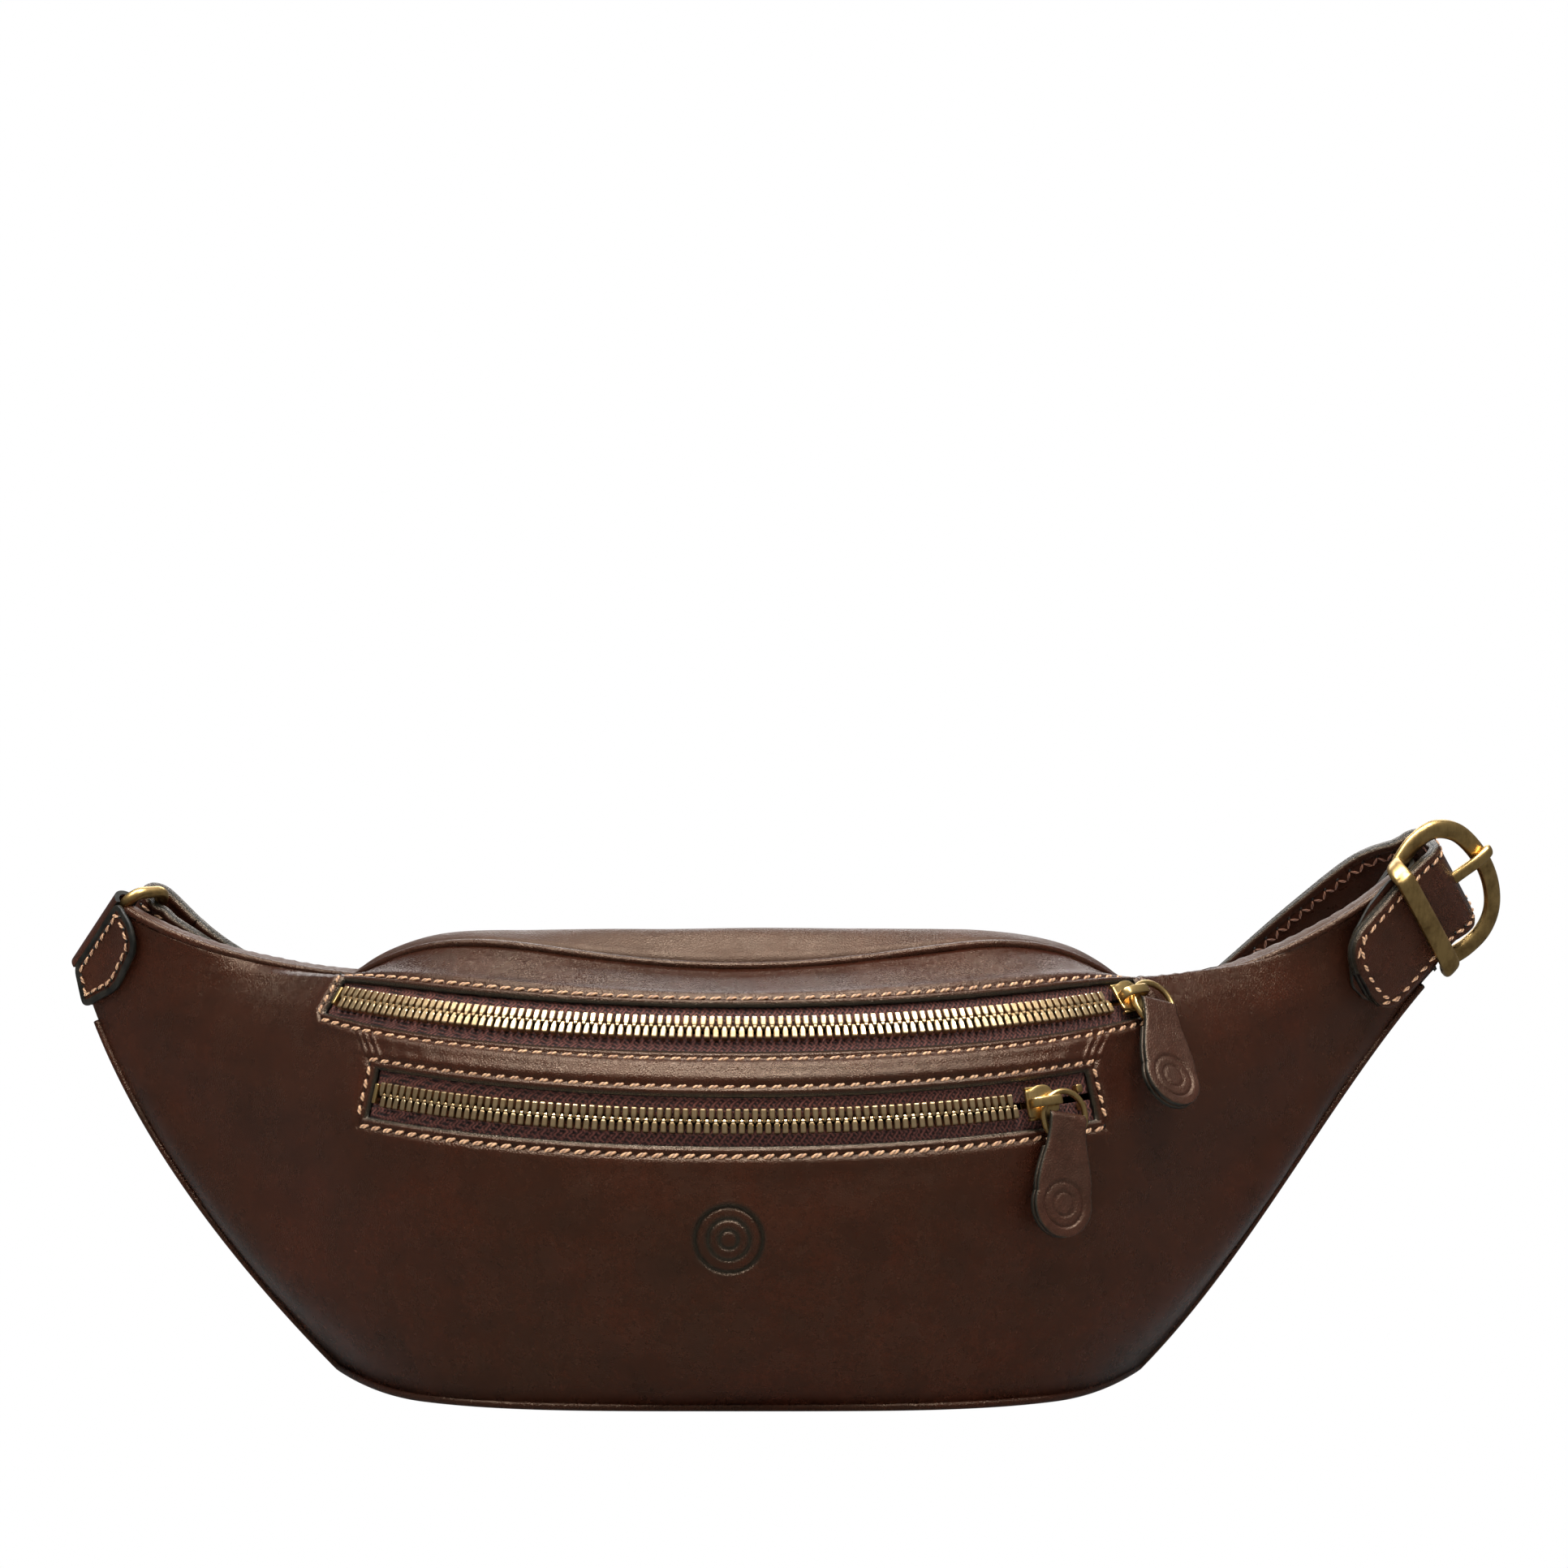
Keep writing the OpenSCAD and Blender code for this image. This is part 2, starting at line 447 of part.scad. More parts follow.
d_path = [[6.3, -14.5, -2.25], [13, -16.4, -1.2], [20.5, -15.4, 0.4], [26.2, -9, 1.6], [28.8, 1.5, 2.0],
  [28.4, 11, 1.8], [25.2, 18.6, 1.2], [19.5, 22.6, 0.3], [12.5, 23.4, -1.2], [6.3, 22, -2.25]];
keeper_path = [[6.3, -14.5, -2.25], [3.2, -17.4, 0.5], [0.6, -18.6, 4.0], [-0.8, -17.6, 7.0], [-1.2, -14.6, 8.1],
  [-1.2, 0, 8.2], [-1.2, 14.0, 8.1], [-0.8, 17.4, 7.0], [0.6, 19.2, 4.0], [3.2, 20.6, 0.5], [6.3, 22, -2.25]];
module buckle_frame() {
  color(brass) {
    loft(round_rings([for (q = smooth(d_path, 3)) bk(q[0], q[1], q[2])], buckle_wire / 2, 10, bk_n));
    loft(round_rings([for (q = smooth(keeper_path, 2)) bk(q[0], q[1], q[2])], buckle_wire / 2 - 0.05, 10, bk_p));
    buckle_coords() {
      translate([bar_p, -14.5, bar_n]) rotate([-90, 0, 0]) cylinder(d = buckle_wire - 0.1, h = 36.5, $fn = 32);
      translate([bar_p, -14.5, bar_n]) sphere(d = buckle_wire + 0.3, $fn = 20);
      translate([bar_p, 22, bar_n]) sphere(d = buckle_wire + 0.3, $fn = 20);
    }
  }
}
prong_k = 1.0;
prong_path = [[bar_p + 1.5, -0.9], [12, 0.0], [17, 1.2], [21, 2.6], [25.5, 4.3], [29.5, 5.0], [31.6, 4.2]];
module buckle_prong() {
  color(brass) {
    buckle_coords() translate([bar_p, prong_k - 1.6, bar_n]) rotate([-90, 0, 0]) difference() {
      cylinder(r = buckle_wire / 2 + 1.0, h = 3.2, $fn = 32);
      translate([0, 0, -1]) cylinder(r = buckle_wire / 2, h = 6, $fn = 32);
    }
    loft(round_rings([for (q = smooth(prong_path, 3)) bk(q[0], prong_k, q[1])], 1.15, 8, bk_n));
  }
}

// ---- strap: one loop from the left ring round the back to the tip under the keeper ----
// stations on the way back, each [point, width direction]
strap_in = unit([0.88, 0.10, -0.57]);
strap_side = cross(strap_in, loop_b);
rear_bar = loop_c + loop_depth * loop_e;
function wrap_pt(d, u) = rear_bar + d * strap_in + u * strap_side;
wrap_path = concat(
  [[20, 5.5], [12, 5.4], [6, 5.2]], [for (k = [0:6]) let (a = 60 + 240 * k / 6) [4.6 * cos(a), 4.6 * sin(a)]],
  [[6, -2.6], [12, -0.4], [20, 1.3]]);
strap_mid = [[-136, 88, 98], [-112, 102, 70], [-75, 118, 40], [-38, 124.5, 20], [0, 126, 14.5], [35, 124.5, 19],
  [70, 118.5, 40], [105, 110, 66], [140, 102, 96], [166, 97, 120], [182, 95, 133.5]];
strap_front = [[17.0, 3.2, -15.4], [21.2, 3.2, -12.8], [22.6, 3.2, -9.2], [21.4, 3.2, -5.8], [19.2, 2.9, -2.6],
  [17.0, 2.3, 0.2], [14.4, 1.4, 2.5], [11.2, 0.4, 3.7], [7, -0.5, 3.95], [0, -0.8, 3.95], [-8, -0.8, 3.95],
  [-15, -0.8, 3.95], [-18, -0.8, 3.95]];
strap_path = concat(
  [for (q = wrap_path) wrap_pt(q[0], q[1])],
  strap_mid,
  [for (q = strap_front) bk(q[0], q[1], q[2])]);
n_wrap = len(wrap_path);
n_mid = len(strap_mid);
function strap_up(i) = i < n_wrap ? loop_b : i >= n_wrap + n_mid ? -bk_k :
  let (u = (i - n_wrap + 1) / (n_mid + 1))
  u < 0.5 ? unit(loop_b * pow(1 - 2 * u, 1.3) + [0, -0.05, 1] * (1 - pow(1 - 2 * u, 1.3)))
  : unit(-bk_k * pow(2 * u - 1, 1.3) + [0, -0.05, 1] * (1 - pow(2 * u - 1, 1.3)));
strap_ups = [for (i = [0:len(strap_path) - 1]) strap_up(i)];
strap_fine = smooth(strap_path, 3);
strap_ups_fine = smooth(strap_ups, 3);
// the tip narrows to a round end: distance past the last point, share of the full width
tip_steps = [[-2.5, 0.985], [-5, 0.93], [-7, 0.83], [-8.6, 0.66], [-9.6, 0.42]];
function strap_axes(i) = let (t = path_dir(strap_fine, i, false),
  w = unit(strap_ups_fine[i] - (strap_ups_fine[i] * t) * t)) [w, cross(w, t)];
// places across the strap: its edges and the two sides of the prong's slot
strap_cols = [strap_w / 2, 3.3, -0.9, -strap_w / 2];
slot_from = 3 * (n_wrap + n_mid + 4) + 1;
slot_to = 3 * (n_wrap + n_mid + 6) + 2;
module strap_layer_solid(lo, hi) {
  last = len(strap_fine) - 1;
  grid = concat(
    [for (i = [0:last]) [for (q = strap_cols) strap_fine[i] + q * strap_axes(i)[0]]],
    [for (s = tip_steps) [for (q = strap_cols) bk(-18 + s[0], -0.8, 3.95) - q * s[1] * bk_k]]);
  norms = concat(
    [for (i = [0:last]) [for (q = strap_cols) strap_axes(i)[1]]],
    [for (s = tip_steps) [for (q = strap_cols) bk_n]]);
  skin(grid, norms, -hi, -lo, [[slot_from, slot_to, 1, 2]]);
}
module strap_outer() { color(hide) strap_layer_solid(0.06, strap_layer + 0.06); }
module strap_lining() { color(hide) strap_layer_solid(-strap_layer - 0.06, -0.06); }

front_panel();
back_panel();
base_gusset();
top_piping();
bottom_welt();
main_lining();
pocket_lining();
main_tape_upper();
main_tape_lower();
main_teeth_upper();
main_teeth_lower();
main_zip_stop();
pocket_tape_upper();
pocket_tape_lower();
pocket_teeth_upper();
pocket_teeth_lower();
pocket_zip_stops();
main_slider();
main_slider_ring();
main_pull();
pocket_slider();
pocket_slider_ring();
pocket_pull();
ring_tab();
strap_ring();
buckle_tab();
buckle_frame();
buckle_prong();
strap_outer();
strap_lining();
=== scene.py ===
"""Looks of the leather waist pack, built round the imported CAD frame.

Lengths are in millimetres and turn into metres in make_mesh. The body surface, the two zip arcs, the
buckle's frame and the strap's route are the same formulas as in the part's source, so each piece lies where
its CAD node lies.
"""
import math
import random

import bmesh
import bpy
import numpy as np
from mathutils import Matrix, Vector, noise


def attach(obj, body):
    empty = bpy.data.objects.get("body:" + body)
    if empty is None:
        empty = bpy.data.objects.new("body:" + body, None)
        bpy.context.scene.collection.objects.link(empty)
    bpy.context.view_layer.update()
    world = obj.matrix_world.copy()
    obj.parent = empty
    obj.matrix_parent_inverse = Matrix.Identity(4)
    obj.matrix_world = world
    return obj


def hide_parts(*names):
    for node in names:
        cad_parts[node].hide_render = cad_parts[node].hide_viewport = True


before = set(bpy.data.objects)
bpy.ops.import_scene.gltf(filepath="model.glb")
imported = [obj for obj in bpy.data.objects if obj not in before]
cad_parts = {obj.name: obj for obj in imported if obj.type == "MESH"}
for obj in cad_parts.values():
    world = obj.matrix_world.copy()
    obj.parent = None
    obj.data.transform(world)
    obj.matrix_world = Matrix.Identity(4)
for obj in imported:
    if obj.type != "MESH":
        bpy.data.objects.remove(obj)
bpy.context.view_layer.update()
MM = 0.001
RNG = random.Random(7)


# ---------------------------------------------------------------- small maths
def unit(v):
    v = np.asarray(v, float)
    return v / np.linalg.norm(v, axis=-1, keepdims=True)


def col(x):
    return np.asarray(x, float)[..., None]


def points(x, y, z):
    return np.stack(np.broadcast_arrays(x, y, z), axis=-1).astype(float)


def curve4(a, b, c, d, t):
    """Smooth curve through four neighbours, t from 0 at b to 1 at c."""
    return 0.5 * (2 * b + (c - a) * t + (2 * a - 5 * b + 4 * c - d) * t * t
                  + (3 * b - a - 3 * c + d) * t * t * t)


def smooth(path, per):
    """The smooth curve through a path's points, with per steps from each to the next."""
    path = np.asarray(path, float)
    last = len(path) - 1
    out = []
    for i in range(last):
        a, b, c, d = path[max(0, i - 1)], path[i], path[i + 1], path[min(last, i + 2)]
        out += [curve4(a, b, c, d, k / per) for k in range(per)]
    out.append(path[-1])
    return np.array(out)


def directions(path, closed=False):
    if closed:
        return unit(np.roll(path, -1, 0) - np.roll(path, 1, 0))
    return unit(np.gradient(path, axis=0))


def resample(path, step, *others):
    """Points at equal steps along a path, with other per-point values carried along."""
    length = np.concatenate([[0], np.cumsum(np.linalg.norm(np.diff(path, axis=0), axis=1))])
    count = max(2, int(round(length[-1] / step)))
    at = (np.arange(count) + 0.5) * length[-1] / count
    return [np.stack([np.interp(at, length, v[:, k]) for k in range(3)], 1) for v in (path, *others)]


def steps(*keys):
    """Values from key to key: value, step, value, step, ..., value."""
    out = []
    for lo, step, hi in zip(keys[::2], keys[1::2], keys[2::2]):
        count = max(1, int(math.ceil((hi - lo) / step)))
        out += list(np.linspace(lo, hi, count, endpoint=False))
    return np.array(out + [keys[-1]])


def bell(x, middle, width):
    return np.exp(-((x - middle) / width) ** 2)


def ramp(x, lo, hi):
    t = np.clip((x - lo) / (hi - lo), 0, 1)
    return t * t * (3 - 2 * t)


def lumps(p, size, seed):
    """Smooth noise from -1 to 1 at each point, with lumps about size across."""
    flat = p.reshape(-1, 3) / size + seed
    return np.array([noise.noise(Vector(q)) for q in flat]).reshape(p.shape[:-1])


# ---------------------------------------------------------------- body surface, as in the part's source
ZIP_R = 154.0
ARC_END = 46.0
A_TO_MM = ZIP_R * math.radians(ARC_END)
MAIN_HALF = 7.0
MAIN_PINCH = 1.6
POCKET_HALF = 6.6
POCKET_LEFT = -0.87
POCKET_RIGHT = 0.83
WING_BOTTOM = {-1: (-184, 73, 104), 1: (199, 81, 113)}
WING_TOP = {-1: (-172.4, 60.7, 130.9), 1: (187, 67, 140)}
END_BOTTOM = {-1: (-0.34, 0.36, 0.86), 1: (0.64, 0.42, 0.64)}
END_TOP = {-1: (-0.74, 0.52, 0.42), 1: (0.70, 0.48, 0.53)}
ROW_SHARE = (0, 0.12, 0.27, 0.42, 0.55, 0.67, 0.80, 1, 1, 0.80, 0.5, 0)
WING_DEPTH = 4.5
X_AXIS = np.array([1.0, 0, 0])


class ZipArc:
    """One zip: a circular arc in a tilted plane, with its face leaning back. Angles are in degrees."""

    def __init__(self, y, z, tilt, lean):
        tilt, lean = math.radians(tilt), math.radians(lean)
        self.sag = np.array([0, -math.cos(tilt), -math.sin(tilt)])
        self.up = np.array([0, -math.sin(tilt), math.cos(tilt)])
        self.lean = lean + tilt
        self.centre = np.array([0, y, z]) - ZIP_R * self.sag

    def r(self, phi):
        f = np.radians(col(phi))
        return np.sin(f) * X_AXIS + np.cos(f) * self.sag

    def t(self, phi):
        f = np.radians(col(phi))
        return np.cos(f) * X_AXIS - np.sin(f) * self.sag

    def w(self, phi):
        return math.cos(self.lean) * self.up - math.sin(self.lean) * self.r(phi)

    def n(self, phi):
        return unit(np.cross(self.t(phi), self.w(phi)))

    def at(self, phi, w=0.0, n=0.0):
        return self.centre + ZIP_R * self.r(phi) + col(w) * self.w(phi) + col(n) * self.n(phi)


MAIN = ZipArc(-30.5, 103, 7.5, 33)
POCKET = ZipArc(-43, 79, 8, 12)


def main_half(a):
    return MAIN_HALF - MAIN_PINCH * np.abs(a) ** 6


def back_y(x):
    return 20 + 0.0017 * x * x


def base_z(x):
    return 0.8 + 4 * (np.maximum(0, x - 86) / 25) ** 2


def row_mid(i, m, side):
    phi = m * ARC_END
    x = ZIP_R * np.sin(np.radians(phi))
    g = ZIP_R - np.sqrt(ZIP_R ** 2 - x * x)
    q = (x / 111) ** 2
    xt = 105 * np.sin(np.radians(phi)) / math.sin(math.radians(ARC_END))
    qt = (xt / 105) ** 2
    left = side < 0
    if i == 0:
        return points(x, -27 + 58 * q * q, base_z(x))
    if i == 1:
        return points(x, -39.5 + 0.96 * g, 22 + 2 * q)
    if i == 2:
        return points(x, -46.5 + g, 48 + 6 * q)
    if i == 3:
        return POCKET.at(phi, -POCKET_HALF)
    if i == 4:
        return POCKET.at(phi, POCKET_HALF)
    if i == 5:
        return MAIN.at(phi, -main_half(m))
    if i == 6:
        return MAIN.at(phi, main_half(m))
    if i == 7:
        rise = 6 * np.sin(np.pi * np.minimum(1, qt))
        return points(xt, -8 + 36 * qt, 118 + rise - np.where(left, 4.5, 6.5) * qt ** 3)
    if i == 8:
        return points(xt, 6 + 30 * qt, 127.8 - 4 * qt - np.where(left, 8.8, 10.3) * qt ** 4)
    if i == 9:
        return points(xt, back_y(xt) - 1, 112 - 6 * qt ** 3)
    if i == 10:
        return points(xt, back_y(xt) + 2 * (1 - qt), 60.0)
    return points(x, back_y(x) - 3, base_z(x))


def mirrored(p, side):
    return p * points(side, 1.0, 1.0)


def start_dir(i, side):
    fixed = {0: (0.66, 0.40, 0.60), 11: (0.66, 0.40, 0.60), 1: (0.72, 0.55, 0.34), 9: (0.86, 0.45, 0.10),
             7: (0.86, 0.50, 0.05 if side < 0 else -0.12), 8: (0.86, 0.50, 0.05 if side < 0 else -0.12),
             10: (0.80, 0.45, 0.40)}
    if i in fixed:
        return unit(mirrored(np.array(fixed[i]), side))
    return unit(mirrored(row_mid(i, np.array(1.0), side) - row_mid(i, np.array(0.999), side), side))


def tip_normal(side):
    w = unit(np.subtract(WING_TOP[side], WING_BOTTOM[side]))
    t = unit(END_TOP[side]) + unit(END_BOTTOM[side])
    return side * unit(np.cross(unit(t - (t @ w) * w), w))


def row_wing(i, s, side):
    f = ROW_SHARE[i]
    p1 = mirrored(row_mid(i, np.array(1.0), side), side)
    p2 = np.multiply(WING_BOTTOM[side], 1 - f) + np.multiply(WING_TOP[side], f)
    if i >= 8:
        p2 = p2 - WING_DEPTH * tip_normal(side)
    length = np.linalg.norm(p2 - p1)
    d1 = start_dir(i, side) * length
    d2 = unit(np.multiply(END_BOTTOM[side], 1 - f) + np.multiply(END_TOP[side], f)) * length
    s = col(s)
    return ((2 * s ** 3 - 3 * s * s + 1) * p1 + (s ** 3 - 2 * s * s + s) * d1
            + (3 * s * s - 2 * s ** 3) * p2 + (s ** 3 - s * s) * d2)


def row(i, a):
    """Row i of the body at a: -2 left tip, -1 to 1 the pouch, 2 right tip."""
    a = np.asarray(a, float)
    side = np.where(a < 0, -1, 1)
    out = mirrored(row_mid(i, np.minimum(np.abs(a), 1), side), side)
    for k in (-1, 1):
        wing = (a * k) > 1
        if wing.any():
            out[wing] = row_wing(i, np.abs(a[wing]) - 1, k)
    return out


def through_rows(rows, v, straight=()):
    """A point on the curve through rows[1:-1] at v, with the bands named in straight kept flat."""
    rows = np.stack(rows)
    i = np.clip(np.floor(v).astype(int), 0, len(rows) - 4)
    pick = [np.take_along_axis(rows, (i + k)[None, ..., None], 0)[0] for k in range(4)]
    t = col(v - i)
    bent = curve4(*pick, t)
    flat = pick[1] + (pick[2] - pick[1]) * t
    return np.where(col(np.isin(i, straight)), flat, bent)


def front(v, a):
    """Front surface, v = 0 at the bottom seam to 7 at the top seam; the slots are 3 to 4 and 5 to 6."""
    v, a = np.broadcast_arrays(np.asarray(v, float), np.asarray(a, float))
    rows = [row(i, a) for i in range(9)]
    return through_rows([2 * rows[0] - rows[1]] + rows, v, (3, 5))


def back(v, a):
    """Back surface, v = 0 at the top seam over the crest to 4 at the bottom seam."""
    v, a = np.broadcast_arrays(np.asarray(v, float), np.asarray(a, float))
    rows = [row(i, a) for i in range(6, 12)]
    return through_rows(rows + [2 * rows[-1] - rows[-2]], v)


def normals_of(surface, v, a, top):
    e = 0.02
    lo, hi = np.maximum(0, v - e), np.minimum(top, v + e)
    return unit(np.cross(surface(v, a + e) - surface(v, a - e), surface(hi, a) - surface(lo, a)))


# ---------------------------------------------------------------- mesh making
def make_mesh(name, verts, faces, materials, body, replaces=(), mat_index=None, smooth_faces=True,
              attributes=None):
    mesh = bpy.data.meshes.new(name)
    mesh.from_pydata((np.asarray(verts, float).reshape(-1, 3) * MM).tolist(), [], faces)
    for m in materials:
        mesh.materials.append(m)
    if mat_index is not None:
        mesh.polygons.foreach_set("material_index", np.asarray(mat_index, np.int32))
    for key, values in (attributes or {}).items():
        layer = mesh.attributes.new(key, "FLOAT", "POINT")
        layer.data.foreach_set("value", np.asarray(values, np.float32).ravel())
    bm = bmesh.new()
    bm.from_mesh(mesh)
    bmesh.ops.recalc_face_normals(bm, faces=bm.faces)
    bm.to_mesh(mesh)
    bm.free()
    mesh.polygons.foreach_set("use_smooth", [smooth_faces] * len(mesh.polygons))
    obj = bpy.data.objects.new(name, mesh)
    bpy.context.collection.objects.link(obj)
    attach(obj, body)
    if replaces:
        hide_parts(*replaces)
    return obj


def grid_faces(ni, nj, start=0, skip=None):
    out = []
    for i in range(ni - 1):
        for j in range(nj - 1):
            if skip is not None and skip[i, j]:
                continue
            p = start + i * nj + j
            out.append((p, p + 1, p + nj + 1, p + nj))
    return out


def shell(outer, inner, skip=None):
    """Closed skin between two grids. Returns vertices, faces and 1 for the faces on a cut edge."""
    ni, nj = outer.shape[:2]
    size = ni * nj
    keep = np.ones((ni - 1, nj - 1), bool) if skip is None else ~skip
    top = grid_faces(ni, nj, 0, ~keep)
    low = [tuple(reversed(f)) for f in grid_faces(ni, nj, size, ~keep)]
    rim = []
    padded = np.pad(keep, 1)
    for i, j in np.argwhere(keep):
        p = i * nj + j
        sides = ((padded[i + 1, j], p, p + nj), (padded[i + 1, j + 2], p + nj + 1, p + 1),
                 (padded[i, j + 1], p + 1, p), (padded[i + 2, j + 1], p + nj, p + nj + 1))
        rim += [(int(s), int(e), int(size + e), int(size + s)) for solid, s, e in sides if not solid]
    verts = np.concatenate([outer.reshape(-1, 3), inner.reshape(-1, 3)])
    return verts, top + low + rim, [0] * (len(top) + len(low)) + [1] * len(rim)


def ring_loft(rings, closed=False):
    """Faces round a list of rings with the same count, with end caps unless closed."""
    n, m = len(rings), len(rings[0])
    faces = []
    for i in range(n if closed else n - 1):
        k = (i + 1) % n
        for j in range(m):
            l = (j + 1) % m
            faces.append((i * m + j, k * m + j, k * m + l, i * m + l))
    if not closed:
        faces += [tuple(range(m - 1, -1, -1)), tuple((n - 1) * m + j for j in range(m))]
    return np.concatenate(rings), faces


def sweep_rings(path, up, profiles, closed=False):
    """Rings of a profile (across, up) carried along a path."""
    t = directions(path, closed)
    up = np.broadcast_to(up, path.shape)
    b = unit(up - np.sum(up * t, 1, keepdims=True) * t)
    side = np.cross(t, b)
    rings = []
    for i in range(len(path)):
        shape = np.asarray(profiles(i) if callable(profiles) else profiles)
        rings.append(path[i] + shape[:, :1] * side[i] + shape[:, 1:] * b[i])
    return rings


def oval(rx, ry, count=20, power=2.0):
    f = np.linspace(0, 2 * math.pi, count, endpoint=False)
    c, s = np.cos(f), np.sin(f)
    k = 2 / power
    return np.stack([rx * np.sign(c) * np.abs(c) ** k, ry * np.sign(s) * np.abs(s) ** k], 1)


def rounded(outline, radius, per=6):
    """An outline with its corners rounded."""
    outline = np.asarray(outline, float)
    n = len(outline)
    out = []
    for i in range(n):
        p, a, b = outline[i], outline[i - 1], outline[(i + 1) % n]
        da, db = np.linalg.norm(a - p), np.linalg.norm(b - p)
        cut = min(radius, 0.45 * da, 0.45 * db)
        s, e = p + (a - p) / da * cut, p + (b - p) / db * cut
        for k in range(per + 1):
            t = k / per
            out.append((1 - t) ** 2 * s + 2 * t * (1 - t) * p + t * t * e)
    return np.array(out)


def inset(outline, d):
    """The outline moved inwards by d."""
    t = directions(outline, True)
    area = np.sum(outline[:, 0] * np.roll(outline[:, 1], -1) - np.roll(outline[:, 0], -1) * outline[:, 1])
    normal = np.stack([-t[:, 1], t[:, 0]], 1) * (1 if area > 0 else -1)
    return outline + d * normal


def plate(outline, z0, z1, bevel=0.35, band=0.0, crown=0.0):
    """A plate with rounded edges. Returns vertices, faces and 1 for faces of its side and painted band."""
    outline = np.asarray(outline, float)
    levels = [(bevel, z0), (0.3 * bevel, z0 + 0.3 * bevel), (0, z0 + bevel), (0, z1 - bevel),
              (0.3 * bevel, z1 - 0.3 * bevel), (bevel, z1)]
    if band:
        levels += [(band, z1 + 0.05), (band + 0.3, z1 - 0.18)]
    edge_rings = len(levels) - 1
    if crown:
        levels += [(bevel + 0.6, z1 + crown)]
    rings = []
    for d, z in levels:
        flat = inset(outline, d)
        rings.append(np.column_stack([flat, np.full(len(flat), z)]))
    verts, faces = ring_loft(rings)
    m = len(outline)
    kinds = [1 if f < edge_rings * m else 0 for f in range(len(faces))]
    return verts, faces, kinds


def bare(verts, faces):
    """A part without cut edges, in the form that joined takes."""
    return verts, faces, [0] * len(faces)


def placed(local, origin, x, y, z):
    local = np.asarray(local, float)
    return np.asarray(origin) + local[:, :1] * x + local[:, 1:2] * y + local[:, 2:] * z


def joined(parts):
    """Several (vertices, faces, kinds) as one."""
    verts, faces, kinds = [], [], []
    base = 0
    for v, f, k in parts:
        verts.append(np.asarray(v, float))
        faces += [tuple(int(q) + base for q in face) for face in f]
        kinds += list(k)
        base += len(v)
    return np.concatenate(verts), faces, kinds


# ---------------------------------------------------------------- materials
class Nodes:
    """A short way to write a node tree."""

    def __init__(self, name):
        self.material = bpy.data.materials.new(name)
        self.material.use_nodes = True
        self.tree = self.material.node_tree
        self.shader = self.tree.nodes["Principled BSDF"]
        self.coords = self.tree.nodes.new("ShaderNodeTexCoord").outputs["Object"]

    def link(self, source, target):
        if isinstance(source, (int, float, tuple)):
            target.default_value = source
        else:
            self.tree.links.new(source, target)

    def node(self, kind, inputs=None, **settings):
        node = self.tree.nodes.new("ShaderNode" + kind)
        for key, value in settings.items():
            setattr(node, key, value)
        for key, value in (inputs or {}).items():
            self.link(value, node.inputs[key])
        return node

    def noise(self, scale, detail=4.0, rough=0.55, vector=None):
        vector = self.coords if vector is None else vector
        node = self.node("TexNoise", {"Vector": vector, "Scale": scale, "Detail": detail, "Roughness": rough})
        return node.outputs["Fac"]

    def cells(self, scale):
        inputs = {"Vector": self.coords, "Scale": scale}
        return self.node("TexVoronoi", inputs, feature="DISTANCE_TO_EDGE").outputs["Distance"]

    def stretched(self, x, y, z):
        return self.node("Mapping", {"Vector": self.coords, "Scale": (x, y, z)}).outputs["Vector"]

    def math(self, operation, a, b=0.0):
        node = self.node("Math", {0: a, 1: b}, operation=operation)
        return node.outputs[0]

    def range(self, value, lo, hi, new_lo, new_hi):
        inputs = {"Value": value, "From Min": lo, "From Max": hi, "To Min": new_lo, "To Max": new_hi}
        return self.node("MapRange", inputs).outputs[0]

    def mix(self, factor, a, b):
        node = self.node("Mix", data_type="RGBA")
        self.link(factor, node.inputs[0])
        self.link(a, node.inputs[6])
        self.link(b, node.inputs[7])
        return node.outputs[2]

    def attribute(self, name):
        return self.node("Attribute", attribute_name=name).outputs["Fac"]

    def bump(self, *layers):
        """layers are (height, strength, distance in metres)."""
        normal = None
        for height, strength, distance in layers:
            inputs = {"Height": height, "Strength": strength, "Distance": distance}
            if normal is not None:
                inputs["Normal"] = normal
            normal = self.node("Bump", inputs).outputs["Normal"]
        self.link(normal, self.shader.inputs["Normal"])

    def set(self, **values):
        for key, value in values.items():
            self.link(value, self.shader.inputs[key.replace("_", " ")])
        return self.material


def rgb(r, g, b):
    return (r, g, b, 1.0)


WARM_SHINE = rgb(1.0, 0.72, 0.50)


